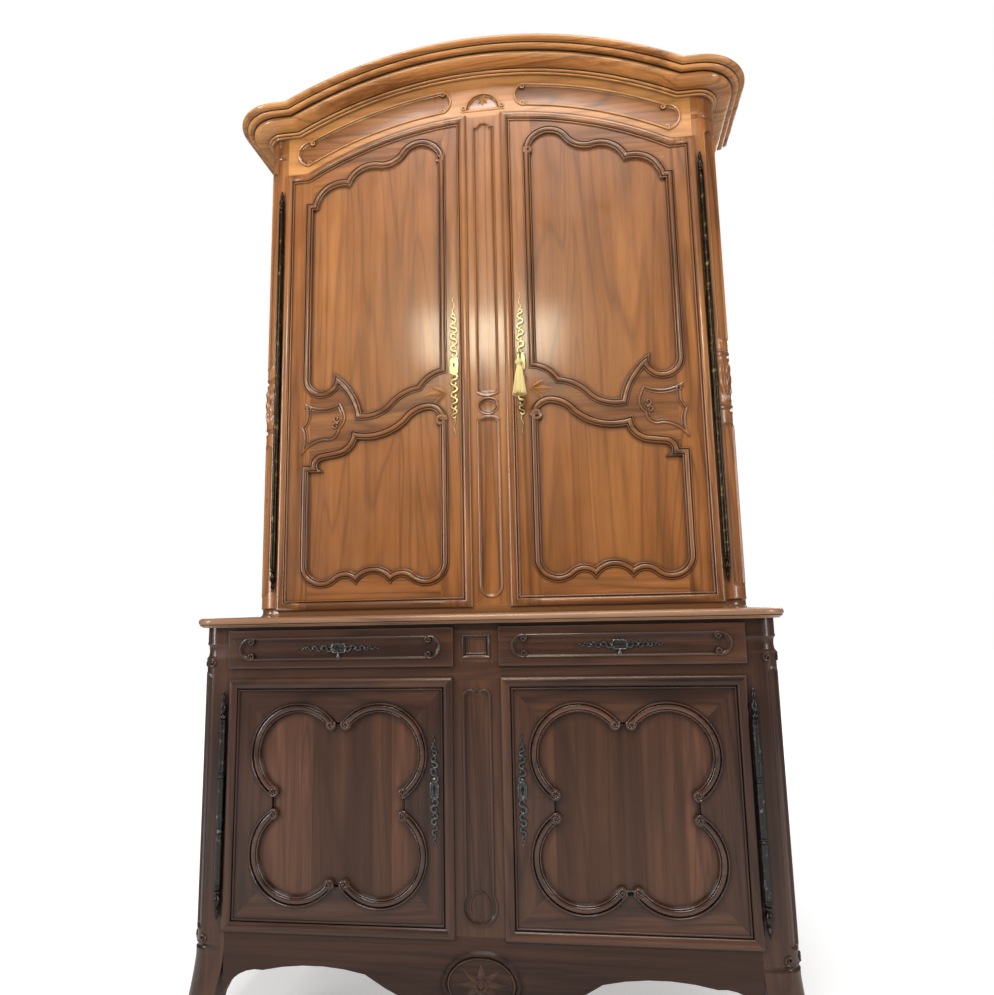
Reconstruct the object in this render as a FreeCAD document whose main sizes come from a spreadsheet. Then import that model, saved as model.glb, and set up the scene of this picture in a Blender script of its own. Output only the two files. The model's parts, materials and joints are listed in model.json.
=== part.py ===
"""A carved two-part cupboard: a lower case with two doors and two drawers under a moulded slab, and a
shallower upper case, set back on it, with two tall doors under an arched cornice.

Millimetres. +X to the right, +Y to the back, +Z up. The origin is on the floor, under the middle.
"""

import FreeCAD, Part
import math
import os

Vector = FreeCAD.Vector

# Driving dimensions: name, millimetres, meaning
SIZES = (
    ("cupboard_depth", 700, "front to back over the slab"),
    ("lower_half_width", 740, "middle to the outer face of a lower post"),
    ("upper_outset", 4, "upper post's outer face beyond a lower post's"),
    ("lower_round", 42, "radius of a lower post's rounded corner"),
    ("upper_round", 57, "radius of an upper post's rounded corner"),
    ("setback", 312, "upper front behind the lower front"),
    ("base_height", 265, "floor to the lower doors"),
    ("lower_door_height", 617, "lower door, bottom to top"),
    ("rail_reveal", 26, "rail seen between a lower door and a drawer"),
    ("drawer_front_height", 100, "drawer front, bottom to top"),
    ("slab_gap", 8, "drawer front to the slab's underside"),
    ("slab_thick", 24, "slab"),
    ("slab_front_overhang", 30, "slab ahead of the lower posts"),
    ("slab_side_overhang", 24, "slab beyond the lower posts"),
    ("slab_edge_round", 9, "rounding of the slab's edge"),
    ("medal_half", 100, "apron's oval, half its width"),
    ("medal_rise", 75, "apron's oval, half its height"),
    ("medal_ring", 10, "raised ring of that oval"),
    ("medal_gap", 23, "apron's oval to the lower doors"),
    ("door_proud", 10, "door or drawer front ahead of the posts"),
    ("door_lip", 8, "door's overlap on its frame"),
    ("drawer_lip", 11, "drawer front's overlap on its frame"),
    ("seat_gap", 0.3, "room between a lip and the frame behind it"),
    ("door_clearance", 2, "room round a door's or drawer's inner part"),
    ("door_thick", 30, "door, front to back"),
    ("lower_stile_half", 68, "half the lower centre stile"),
    ("upper_stile_half", 64, "half the upper centre stile"),
    ("lower_post_width", 88, "lower post, across the front"),
    ("upper_post_width", 75, "upper post, across the front"),
    ("lower_post_depth", 80, "lower front post, front to back"),
    ("upper_post_depth", 60, "upper front post, front to back"),
    ("rear_post_depth", 50, "rear post, front to back"),
    ("rail_thick", 30, "front rails, apron and frieze"),
    ("stile_thick", 45, "centre stiles, front to back"),
    ("board_thick", 20, "bottoms, shelves and roof"),
    ("side_thick", 26, "side rails"),
    ("side_panel_thick", 14, "side panels"),
    ("back_thick", 12, "back boards"),
    ("side_rail_height", 120, "side rails, bottom to top"),
    ("foot_height", 150, "floor to the lower side rails"),
    ("foot_flare", 20, "scroll foot beyond its post"),
    ("scroll_height", 228, "floor to where a front post swells into its foot"),
    ("neck_height", 16, "turned-in neck on a front post"),
    ("upper_cap", 62, "upper post's plain block under the cornice"),
    ("upper_foot_block", 24, "upper post's turned-in foot on the slab"),
    ("lower_cap", 46, "lower post's plain block under the slab"),
    ("leaf_height", 150, "leaf-carved block of an upper post"),
    ("panel_margin", 30, "end of a post's raised part to its sunk panel"),
    ("upper_door_gap", 15, "slab to the upper doors"),
    ("upper_door_height", 1463, "upper door at its outer edge"),
    ("arch_radius", 1246, "radius of the upper doors' arched top"),
    ("arch_flat", 75, "flat end of that arch, at the door's outer edge"),
    ("frieze_height", 132, "upper door's arch to the cornice"),
    ("cornice_flat", 117, "flat end of the cornice's arch, at the upper post"),
    ("cornice_lap", 20, "cornice's overlap on the frieze"),
    ("cornice_height", 66, "cornice, bottom to top"),
    ("cornice_reach", 108, "cornice ahead of the upper posts"),
    ("bed_reach", 26, "cornice's lower beads ahead of the upper posts"),
    ("cornice_tail", 30, "cornice's seat on top of the frieze"),
    ("roll_width", 26, "rolled edge of a door"),
    ("roll_drop", 8, "height of that roll"),
    ("fillet_width", 7, "fillet inside the roll"),
    ("fillet_drop", 6, "fillet behind the door's foremost line"),
    ("field_drop", 9, "flat field behind the door's foremost line"),
    ("moulding_width", 27, "moulding round a door panel"),
    ("moulding_crest", 3, "that moulding's crest behind the door's foremost line"),
    ("panel_drop", 16, "door panel behind the door's foremost line"),
    ("panel_thick", 11, "door panel"),
    ("panel_seat", 18, "moulding's outer line to the edge of the panel's seat"),
    ("upper_stile_width", 72, "upper door's edge to its panel moulding"),
    ("lower_rail_width", 69, "upper door's bottom edge to its panel moulding"),
    ("top_rail_width", 48, "upper door's arched top to its panel moulding, where they are nearest"),
    ("spur_drop", 108, "upper door's flat top to its panel's outer corner"),
    ("mid_rail_rise", 585, "upper door's bottom to its carved middle rail"),
    ("lobe_side_margin", 67, "lower door's side to its round lobes"),
    ("lobe_top_margin", 61.5, "lower door's top to its round lobes"),
    ("lobe_side_gap", 15.4, "least room between the ends of two lobes side by side"),
    ("lobe_rise_gap", 28.3, "least room between the ends of two lobes over each other"),
    ("lobe_end_side", 38, "degrees above level where a lobe ends beside its neighbour"),
    ("lobe_end_rise", 58, "degrees below level where a lobe ends over its neighbour"),
    ("stile_margin", 24, "end of a centre stile to its sunk panel"),
    ("oval_raise", 35, "upper stile's oval above the doors' middle rail"),
    ("oval_half_width", 32, "that oval, half its width"),
    ("oval_half_height", 26, "that oval, half its height"),
    ("oval_gap", 10, "that oval to the panels above and below it"),
    ("frieze_panel_in", 130, "middle to a frieze panel's inner end"),
    ("frieze_margin", 71, "upper post to a frieze panel's outer end"),
    ("lunette_half", 57, "half-round over the centre stile"),
    ("bead_width", 6, "thin bead round a sunk panel"),
    ("bead_rise", 1.5, "that bead's height"),
    ("chord_sag", 0.8, "how far the flats of a round outline leave its circle"),
    ("sink", 4, "depth of a sunk panel"),
    ("barrel_radius", 8.5, "hinge barrel"),
    ("barrel_gap", 1.5, "hinge barrel to the door's edge"),
    ("pin_radius", 4, "hinge pin"),
    ("running_gap", 0.05, "pin in its knuckle, all round"),
    ("knuckle_gap", 0.5, "between two knuckles"),
    ("leaf_thick", 2, "hinge leaf"),
    ("finial_length", 76, "hinge finial"),
    ("upper_barrel_inset", 135, "upper barrel's ends inside the door's height at its outer edge"),
    ("lower_barrel_inset", 105, "lower barrel's ends inside the door's height"),
    ("lock_inset", 50, "door's inner edge to its keyhole"),
    ("upper_keyhole_rise", 756, "upper door's bottom to its keyhole"),
    ("lower_keyhole_rise", 344, "lower door's bottom to its keyhole"),
    ("keyhole_gap", 0.3, "key's stem to the side of its keyhole"),
    ("bit_room", 13, "room for the key's bit to turn, from the key's middle"),
    ("lock_width", 64, "lock case"),
    ("lock_height", 92, "lock case"),
    ("lock_thick", 20, "lock case"),
    ("lock_wall", 4, "lock case's front wall"),
    ("bolt_length", 44, "lock bolt"),
    ("bolt_height", 14, "lock bolt"),
    ("bolt_thick", 6, "lock bolt"),
    ("bolt_gap", 0.3, "room round the bolt"),
    ("bolt_throw", 14, "travel of the bolt"),
    ("plate_thick", 1.5, "escutcheon"),
    ("upper_plate_half", 228, "upper escutcheon, keyhole to either end"),
    ("lower_plate_half", 132, "lower escutcheon, keyhole to either end"),
    ("drawer_plate_half", 109, "drawer escutcheon, keyhole to either end"),
    ("plate_half_width", 14, "escutcheon, half its width at the keyhole"),
    ("drawer_length", 560, "drawer box, front to back"),
    ("drawer_side", 12, "drawer sides and back"),
    ("drawer_bottom", 8, "drawer bottom"),
    ("runner_thick", 18, "drawer runners"),
    ("key_radius", 3, "key's stem"),
    ("key_reach", 50, "key's bow ahead of the door"),
    ("bow_radius", 18, "key's bow"),
    ("tassel_reach", 60, "tassel's middle ahead of the door"),
    ("tassel_length", 128, "tassel, knot to hem"),
    ("tassel_hem", 22, "tassel's radius at its hem"),
)


class Size(float):
    """A length that keeps its formula, so that a board can be bound to the sheet's cells."""

    def __new__(cls, number, text):
        size = super().__new__(cls, number)
        size.text = text
        return size

    def __add__(self, other):
        return Size(float(self) + float(other), f"({self.text} + {formula(other)})")

    def __sub__(self, other):
        return Size(float(self) - float(other), f"({self.text} - {formula(other)})")

    def __mul__(self, other):
        return Size(float(self) * float(other), f"({self.text} * {formula(other)})")

    def __truediv__(self, other):
        return Size(float(self) / float(other), f"({self.text} / {formula(other)})")

    def __neg__(self):
        return Size(-float(self), f"(-{self.text})")


def formula(value):
    """The text of a length's formula, or of a plain number."""
    return value.text if isinstance(value, Size) else repr(float(value))


class Named:
    """Holds the sheet's lengths under their names."""


doc = FreeCAD.newDocument("two_part_cupboard")
sheet = doc.addObject("Spreadsheet::Sheet", "sizes")
s = Named()
for row, (name, number, meaning) in enumerate(SIZES, 1):
    sheet.set(f"A{row}", name)
    sheet.set(f"B{row}", str(number))
    sheet.set(f"C{row}", meaning)
    sheet.setAlias(f"B{row}", name)
    setattr(s, name, Size(number, "sizes." + name))
doc.recompute()

nodes = []


def node(label, thing):
    """Names a finished sub-part and keeps it for writing."""
    thing.Label = label
    nodes.append(thing)
    return thing


def board(x, y, z):
    """A straight board between pairs of low and high lengths, bound to the sheet."""
    box = doc.addObject("Part::Box", "board")
    for side, axis, (low, high) in zip(("Length", "Width", "Height"), "xyz", (x, y, z)):
        box.setExpression(side, formula(high - low))
        box.setExpression("Placement.Base." + axis, formula(low))
    return box


def group(members):
    """Separate solids kept together in one sub-part."""
    thing = doc.addObject("Part::Compound", "group")
    thing.Links = members
    return thing


def cut(base, tools):
    """A solid less other solids."""
    thing = doc.addObject("Part::Cut", "cut")
    thing.Base = base
    thing.Tool = tools[0] if len(tools) == 1 else group(tools)
    return thing


def feature(shape):
    """A solid made by its own surfaces."""
    thing = doc.addObject("Part::Feature", "form")
    thing.Shape = shape
    return thing


def mirrored(source):
    """The same piece on the other side of the cupboard."""
    thing = doc.addObject("Part::Mirroring", "mirror")
    thing.Source = source
    thing.Normal = Vector(1, 0, 0)
    return thing


def both(source):
    """A piece and its mirror image in one sub-part."""
    return group([source, mirrored(source)])


def box_shape(x, y, z):
    """A plain box between pairs of low and high lengths."""
    corner = Vector(x[0], y[0], z[0])
    return Part.makeBox(x[1] - x[0], y[1] - y[0], z[1] - z[0], corner)


# Outlines in the plane of the front, as (x, z) points


def circle_centre(a, b, c):
    """The centre of the circle through three points."""
    twice = 2 * (a[0] * (b[1] - c[1]) + b[0] * (c[1] - a[1]) + c[0] * (a[1] - b[1]))
    aa, bb, cc = (p[0] ** 2 + p[1] ** 2 for p in (a, b, c))
    x = (aa * (b[1] - c[1]) + bb * (c[1] - a[1]) + cc * (a[1] - b[1])) / twice
    z = (aa * (c[0] - b[0]) + bb * (a[0] - c[0]) + cc * (b[0] - a[0])) / twice
    return x, z


def cross(a, b, c):
    """Twice the area of a triangle, positive where it turns left."""
    return (b[0] - a[0]) * (c[1] - a[1]) - (b[1] - a[1]) * (c[0] - a[0])


def plain(point):
    """A point as plain numbers, without their formulas."""
    return float(point[0]), float(point[1])


def flat_count(radius, sweep):
    """How many flats a round run is made of."""
    return max(2, math.ceil(sweep / (2 * math.acos(1 - s.chord_sag / radius))))


class Run:
    """One straight or round run of an outline. An inset moves it by its share of the inset's width."""

    def __init__(self, start, end, via=None, share=1.0, flats=None):
        self.start, self.end, self.middle, self.share = plain(start), plain(end), via, share
        self.flats = 1
        if via is not None:
            via = plain(via)
            self.turn = 1 if cross(self.start, via, self.end) > 0 else -1
            self.centre = circle_centre(self.start, via, self.end)
            self.radius = math.dist(self.start, self.centre)
            self.first, last = self.angle(self.start), self.angle(self.end)
            self.sweep = (last - self.first) * self.turn % (2 * math.pi)
            self.middle = self.at(0.5)
            self.flats = flats or flat_count(self.radius, self.sweep)

    def angle(self, place):
        """The direction of a place from a round run's centre."""
        return math.atan2(place[1] - self.centre[1], place[0] - self.centre[0])

    def at(self, part):
        """The point at a part of a round run."""
        turn = self.first + self.turn * self.sweep * part
        return self.centre[0] + self.radius * math.cos(turn), self.centre[1] + self.radius * math.sin(turn)

    def inside(self, place, side):
        """The unit direction into the outline, and how far inside this run a place is."""
        if self.middle is None:
            across, up = self.end[0] - self.start[0], self.end[1] - self.start[1]
            length = math.hypot(across, up)
            nx, nz = -up / length * side, across / length * side
            return (nx, nz), (place[0] - self.start[0]) * nx + (place[1] - self.start[1]) * nz
        hollow = side * self.turn
        reach = math.dist(place, self.centre)
        nx = (self.centre[0] - place[0]) / reach * hollow
        nz = (self.centre[1] - place[1]) / reach * hollow
        return (nx, nz), (self.radius - reach) * hollow

    def points(self, y):
        """The run's points at a depth, from its start to its end."""
        places = [self.at(step / self.flats) for step in range(1, self.flats)]
        return [Vector(x, y, z) for x, z in [self.start] + places + [self.end]]


class Outline:
    """A closed chain of runs, which can be drawn inwards by a distance."""

    def __init__(self, *start):
        self.first = self.at = plain(start)
        self.runs = []

    def line(self, x, z, share=1.0):
        self.runs.append(Run(self.at, (x, z), share=share))
        self.at = self.runs[-1].end
        return self

    def arc(self, via, end, share=1.0, flats=None):
        self.runs.append(Run(self.at, end, via, share, flats))
        self.at = self.runs[-1].end
        return self

    def close(self):
        return self.line(*self.first) if math.dist(self.at, self.first) > 1e-6 else self

    def wire(self, y):
        points = [point for run in self.runs for point in run.points(y)[:-1]]
        return Part.makePolygon(points + points[:1])

    def inset(self, distance):
        """The outline drawn inwards, or outwards where the distance is negative."""
        distance = float(distance)
        if distance == 0:
            return self
        corners = [p for run in self.runs for p in (run.start, run.middle) if p is not None]
        area = sum(a[0] * b[1] - b[0] * a[1] for a, b in zip(corners, corners[1:] + corners[:1]))
        side = 1 if area > 0 else -1

        places = []
        for before, after in zip([self.runs[-1]] + self.runs[:-1], self.runs):
            x, z = after.start
            for step in range(12):
                (ax, az), a_in = before.inside((x, z), side)
                (bx, bz), b_in = after.inside((x, z), side)
                da, db = distance * before.share - a_in, distance * after.share - b_in
                spread = ax * bz - az * bx
                if abs(spread) < 0.03:
                    x, z = x + (ax * da + bx * db) / 2, z + (az * da + bz * db) / 2
                else:
                    x, z = x + (da * bz - db * az) / spread, z + (db * ax - da * bx) / spread
            places.append((x, z))
        moved = Outline(*places[0])
        for run, end in zip(self.runs, places[1:] + places[:1]):
            if run.middle is None:
                moved.line(*end, share=run.share)
            else:
                (nx, nz), depth = run.inside(run.middle, side)
                reach = distance * run.share
                via = (run.middle[0] + nx * reach, run.middle[1] + nz * reach)
                moved.arc(via, end, run.share, run.flats)
        return moved


def rectangle(x, z):
    """A rectangle between pairs of low and high lengths."""
    return Outline(x[0], z[0]).line(x[1], z[0]).line(x[1], z[1]).line(x[0], z[1]).close()


def in_one_plane(points):
    """Whether four points lie in one plane."""
    a, b, c, d = points
    normal = (b - a).cross(c - a)
    return normal.Length > 0 and abs(normal.normalize().dot(d - a)) < 1e-7


def polygon_face(points):
    """A flat face with straight sides."""
    return Part.Face(Part.makePolygon(points + points[:1]))


def strip(near, far):
    """Flat faces between two rows of as many points."""
    faces = []
    for a, b, c, d in zip(near, near[1:], far[1:], far):
        if in_one_plane([a, b, c, d]):
            faces.append(polygon_face([a, b, c, d]))
        else:
            faces += [polygon_face([a, b, c]), polygon_face([a, c, d])]
    return faces


def bands(outline, profile, face):
    """The surfaces of a moulding that runs round an outline. Its profile is (inset, depth) points."""
    surfaces = []
    for (near, near_drop), (far, far_drop) in zip(profile, profile[1:]):
        if (near, near_drop) == (far, far_drop):
            continue
        for run, other in zip(outline.inset(near).runs, outline.inset(far).runs):
            surfaces += strip(run.points(face + near_drop), other.points(face + far_drop))
    return surfaces


def flat(y, outer, holes=()):
    """A flat face with holes, at a depth."""
    return Part.makeFace([outer.wire(y)] + [hole.wire(y) for hole in holes], "Part::FaceMakerBullseye")


def closed(surfaces):
    """The solid inside a set of surfaces that meet edge to edge."""
    shell = Part.makeShell(surfaces)
    shell.sewShape()
    solid = Part.makeSolid(shell)
    if solid.Volume < 0:
        solid.reverse()
    return solid


def carved_board(face, thick, rim, rim_profile, recesses=(), openings=()):
    """A board with a moulded rim, blind recesses and through openings, each with its own moulding.

    face is its foremost plane. The rim's profile runs from the board's back to its flat field. Behind an
    opening's moulding is a straight-sided seat for a panel.
    """
    rear = rim.inset(rim_profile[0][0])
    field_inset, field_drop = rim_profile[-1]
    surfaces = bands(rim, [(rim_profile[0][0], thick)] + rim_profile, face)
    outlines = [cut_out[0] for cut_out in list(recesses) + list(openings)]
    surfaces.append(flat(face + field_drop, rim.inset(field_inset), outlines))
    for outline, profile in recesses:
        inset, drop = profile[-1]
        surfaces += bands(outline, profile, face)
        surfaces.append(flat(face + drop, outline.inset(inset)))
    holes = []
    for outline, profile, seat in openings:
        inset, drop = profile[-1]
        surfaces += bands(outline, profile, face)
        surfaces.append(flat(face + drop, seat, [outline.inset(inset)]))
        surfaces += bands(seat, [(0, drop), (0, thick)], face)
        holes.append(seat)
    surfaces.append(flat(face + thick, rear, holes))
    return closed(surfaces)


def extruded(outline, front, back):
    """A plain board with a shaped outline."""
    return Part.Face(outline.wire(front)).extrude(Vector(0, back - front, 0))


def half_round(width, base, crest, steps):
    """Points of a half-round moulding, after its first, from one side to the other."""
    points = []
    for step in range(1, steps + 1):
        turn = math.pi * step / steps
        points.append((width * (1 - math.cos(turn)) / 2, base - (base - crest) * math.sin(turn)))
    return points


def ring_points(centre, radius, along, start, sides=10):
    """A regular ring of points round a centre, square to a direction."""
    turns = [FreeCAD.Rotation(along, 360 / sides * step) for step in range(sides)]
    return [centre + turn.multVec(start) * radius for turn in turns]


def turned_solid(profile, base):
    """A turned solid with flat sides from (radius, height) points, on an upright axis."""
    up, out = Vector(0, 0, 1), Vector(1, 0, 0)
    rings = [ring_points(base + up * height, radius, up, out) for radius, height in profile]
    surfaces = [polygon_face(rings[0]), polygon_face(rings[-1])]
    for low, high in zip(rings, rings[1:]):
        for side in range(len(low)):
            surfaces.append(polygon_face([low[side - 1], low[side], high[side], high[side - 1]]))
    return closed(surfaces)


# Planes that several pieces share


def leg(slope, side):
    """The third side of a right-angled triangle."""
    return Size(math.sqrt(slope**2 - side**2), f"sqrt({slope.text}^2 - {side.text}^2)")


front_edge = -s.cupboard_depth / 2
back = s.cupboard_depth / 2
lower_face = front_edge + s.slab_front_overhang
upper_face = lower_face + s.setback
lower_door_face = lower_face - s.door_proud
upper_door_face = upper_face - s.door_proud
lip_depth = s.door_proud - s.seat_gap
lower_door_bottom = s.base_height
lower_door_top = lower_door_bottom + s.lower_door_height
drawer_bottom_edge = lower_door_top + s.rail_reveal
drawer_top_edge = drawer_bottom_edge + s.drawer_front_height
lower_top = drawer_top_edge + s.slab_gap
slab_top = lower_top + s.slab_thick
lower_sill = lower_door_bottom + s.door_lip
mid_rail_low = lower_door_top - s.door_lip
mid_rail_high = drawer_bottom_edge + s.drawer_lip
top_rail_low = drawer_top_edge - s.drawer_lip
upper_door_bottom = slab_top + s.upper_door_gap
upper_sill = upper_door_bottom + s.door_lip
upper_door_shoulder = upper_door_bottom + s.upper_door_height
lower_opening_half = s.lower_half_width - s.lower_post_width
upper_half_width = s.lower_half_width + s.upper_outset
upper_opening_half = upper_half_width - s.upper_post_width
lower_door_in = s.lower_stile_half - s.door_lip
lower_door_out = lower_opening_half + s.door_lip
upper_door_in = s.upper_stile_half - s.door_lip
upper_door_out = upper_opening_half + s.door_lip
arch_break = upper_door_out - s.arch_flat
cornice_break = upper_half_width - s.cornice_flat
arch_centre = upper_door_shoulder - leg(s.arch_radius, arch_break)
bed_radius = s.arch_radius + s.frieze_height
bed_level = arch_centre + leg(bed_radius, cornice_break)
upper_top = bed_level + s.cornice_lap
rear_post_face = back - s.rear_post_depth
upper_side_inner = upper_half_width - s.side_thick
lower_side_inner = s.lower_half_width - s.side_thick
rear_inset = s.door_lip + s.door_clearance


def arch_height(radius, x):
    """The height of one of the arch's circles above a place on the front."""
    return arch_centre + math.sqrt(radius**2 - x**2)


# Posts with their rounded corners, and the scroll feet under the front ones

CORNER_STEPS = 5
FOOT_STEPS = 6


def corner_points(outer, face, radius, reach, first, last, z):
    """Points round a post's rounded corner at a reach from its centre, between two of its flats."""
    points = []
    for step in range(first, last + 1):
        turn = math.pi / 2 * step / CORNER_STEPS
        x = outer - radius + reach * math.sin(turn)
        points.append(Vector(x, face + radius - reach * math.cos(turn), z))
    return points


def post_section(inner, outer, face, rear, radius, z):
    """The plan of a right front post at one height."""
    corner = corner_points(outer, face, radius, radius, 0, CORNER_STEPS, z)
    return [Vector(inner, rear, z), Vector(inner, face, z)] + corner + [Vector(outer, rear, z)]


def corner_groove(outer, face, radius, low, high, first, last):
    """A groove sunk in a post's rounded corner, between two of its flats and two heights."""
    near = corner_points(outer, face, radius, radius - s.sink, first, last, low)
    far = corner_points(outer, face, radius, radius + s.sink, first, last, low)
    return polygon_face(near + far[::-1]).extrude(Vector(0, 0, high - low))


def carved_post(inner, outer, face, rear, radius, low, high, necks, panels):
    """A front post whose rounded corner has turned-looking necks and long sunk panels."""
    post = polygon_face(post_section(inner, outer, face, rear, radius, low)).extrude(Vector(0, 0, high - low))
    grooves = [corner_groove(outer, face, radius, a, b, 0, CORNER_STEPS) for a, b in necks]
    grooves += [corner_groove(outer, face, radius, a, b, 1, CORNER_STEPS - 1) for a, b in panels]
    return post.cut(Part.makeCompound(grooves))


def scroll_foot(inner, outer, face, rear, radius, top):
    """The swelling foot under a front post, down to the floor."""
    narrow = (outer - inner) * 0.4
    rows = []
    for step in range(FOOT_STEPS + 1):
        fall = step / FOOT_STEPS
        flare = s.foot_flare * math.sin(math.pi * 0.62 * fall**1.6)
        taper = narrow * (1 - math.cos(math.pi * fall)) / 2
        rows.append(
            post_section(inner + taper, outer + flare, face - flare, rear - taper / 2, radius + flare / 2,
                         top * (1 - fall))
        )
    surfaces = [polygon_face(rows[0]), polygon_face(rows[-1])]
    for high, low in zip(rows, rows[1:]):
        surfaces += strip(high + high[:1], low + low[:1])
    return closed(surfaces)


upper_post_rear = upper_face + s.upper_post_depth
lower_post_rear = lower_face + s.lower_post_depth
leaf_low = upper_door_bottom + s.mid_rail_rise
leaf_high = leaf_low + s.leaf_height
upper_cap_low = bed_level - s.upper_cap
lower_neck_high = lower_top - s.lower_cap
lower_neck_low = lower_neck_high - s.neck_height * 2
right_upper_post = feature(
    carved_post(
        upper_opening_half, upper_half_width, upper_face, upper_post_rear, s.upper_round,
        slab_top, upper_top,
        necks=[
            (slab_top, slab_top + s.upper_foot_block),
            (leaf_low - s.neck_height, leaf_low),
            (leaf_high, leaf_high + s.neck_height),
            (upper_cap_low - s.neck_height, upper_cap_low),
        ],
        panels=[
            (slab_top + s.upper_foot_block + s.panel_margin, leaf_low - s.neck_height - s.panel_margin),
            (leaf_high + s.neck_height + s.panel_margin, upper_cap_low - s.neck_height - s.panel_margin),
        ],
    )
)
lower_post = carved_post(
    lower_opening_half, s.lower_half_width, lower_face, lower_post_rear, s.lower_round,
    s.scroll_height, lower_top,
    necks=[(lower_neck_low, lower_neck_high)],
    panels=[(s.scroll_height + s.panel_margin, lower_neck_low - s.panel_margin)],
)
foot = scroll_foot(
    lower_opening_half, s.lower_half_width, lower_face, lower_post_rear, s.lower_round, s.scroll_height
)
right_lower_post = feature(lower_post.fuse(foot))
node("lower_right_post", right_lower_post)
node("lower_left_post", mirrored(right_lower_post))
node("upper_right_post", right_upper_post)
node("upper_left_post", mirrored(right_upper_post))
rear_post_y = (rear_post_face, back)
lower_post_x = (lower_opening_half, s.lower_half_width)
upper_post_x = (upper_opening_half, upper_half_width)
node("lower_rear_posts", both(board(lower_post_x, rear_post_y, (0.0, lower_top))))
node("upper_rear_posts", both(board(upper_post_x, rear_post_y, (slab_top, upper_top))))


# Boards of the two cases


def planks(half_width, low, high, count=4):
    """Upright back boards side by side."""
    width = half_width * 2 / count
    edges = [width * step - half_width for step in range(count + 1)]
    return group([board(pair, (back - s.back_thick, back), (low, high)) for pair in zip(edges, edges[1:])])


def notched(y, z, opening_half, half_width, side_inner, front_face, front_rear):
    """A level board across a case, cut out round the posts it meets."""
    tools = []
    for low, high in ((front_face, front_rear), (rear_post_face, back)):
        if y[0] < high:
            tools.append(board((opening_half, half_width), (low, high), z))
            tools.append(board((-half_width, -opening_half), (low, high), z))
    return cut(board((-side_inner, side_inner), y, z), tools)


def lower_board(front, z):
    return notched((front, back - s.back_thick), z, lower_opening_half, s.lower_half_width,
                   lower_side_inner, lower_face, lower_post_rear)


def upper_board(front, z):
    return notched((front, back - s.back_thick), z, upper_opening_half, upper_half_width,
                   upper_side_inner, upper_face, upper_post_rear)


def side_frame(half_width, post_rear, levels):
    """Rails and panels of both sides of a case, from the levels where a rail begins or ends."""
    y = (post_rear, rear_post_face)
    skin = (s.side_thick - s.side_panel_thick) / 2
    rail_x = (half_width - s.side_thick, half_width)
    panel_x = (half_width - s.side_thick + skin, half_width - skin)
    rails = [board(rail_x, y, (levels[i], levels[i + 1])) for i in range(0, len(levels), 2)]
    panels = [board(panel_x, y, (levels[i], levels[i + 1])) for i in range(1, len(levels) - 1, 2)]
    return both(group(rails)), both(group(panels))


lower_rail_back = lower_face + s.rail_thick
upper_rail_back = upper_face + s.rail_thick
lower_span = (-lower_opening_half, lower_opening_half)
upper_span = (-upper_opening_half, upper_opening_half)

node("lower_mid_rail", board(lower_span, (lower_face, lower_rail_back), (mid_rail_low, mid_rail_high)))
node("lower_top_rail", board(lower_span, (lower_face, lower_rail_back), (top_rail_low, lower_top)))
rails, panels = side_frame(
    s.lower_half_width, lower_post_rear,
    (s.foot_height, s.foot_height + s.side_rail_height, lower_top - s.side_rail_height, lower_top),
)
node("lower_side_rails", rails)
node("lower_side_panels", panels)
node("lower_back", planks(lower_opening_half, s.foot_height, lower_top))
node("lower_floor", lower_board(lower_rail_back, (lower_sill - s.board_thick, lower_sill)))
shelf_front = lower_post_rear + s.board_thick
shelf_level = (lower_sill + mid_rail_low) / 2
node("lower_shelf", lower_board(shelf_front, (shelf_level - s.board_thick, shelf_level)))

runner_y = (lower_rail_back, back - s.back_thick)
runner_z = (mid_rail_high - s.runner_thick, mid_rail_high)
guide_z = (mid_rail_high, mid_rail_high + s.runner_thick)
guide_half = s.lower_stile_half - s.door_clearance
runner_width = s.runner_thick * 2
node(
    "drawer_runners",
    group([
        board((-s.lower_stile_half - runner_width, s.lower_stile_half + runner_width), runner_y, runner_z),
        board((-guide_half, guide_half), (lower_face + s.stile_thick, back - s.back_thick), guide_z),
        both(board((lower_opening_half - runner_width, lower_opening_half), runner_y, runner_z)),
        both(board((lower_opening_half, lower_side_inner), (lower_post_rear, rear_post_face), guide_z)),
    ]),
)

node("upper_base_rail", board(upper_span, (upper_face, upper_rail_back), (slab_top, upper_sill)))
upper_mid = upper_door_bottom + s.mid_rail_rise
rails, panels = side_frame(
    upper_half_width, upper_post_rear,
    (slab_top, slab_top + s.side_rail_height, upper_mid - s.side_rail_height / 2,
     upper_mid + s.side_rail_height / 2, upper_top - s.side_rail_height, upper_top),
)
node("upper_side_rails", rails)
node("upper_side_panels", panels)
node("upper_back", planks(upper_opening_half, slab_top, upper_top))
node("upper_floor", upper_board(upper_rail_back, (slab_top, upper_sill)))
roof_low = upper_top - s.board_thick
roof_z = (roof_low, upper_top)
stile_x = (-s.upper_stile_half, s.upper_stile_half)
stile_head = board(stile_x, (upper_rail_back, upper_face + s.stile_thick), roof_z)
node("upper_roof", cut(upper_board(upper_rail_back, roof_z), [stile_head]))
shelves = []
for quarter in (1, 2, 3):
    level = upper_sill + (roof_low - upper_sill) * quarter / 4
    shelves.append(upper_board(upper_post_rear + s.board_thick / 2, (level - s.board_thick, level)))
node("upper_shelves", group(shelves))

# The slab between the two cases, drawn flat as a front and laid down

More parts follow.
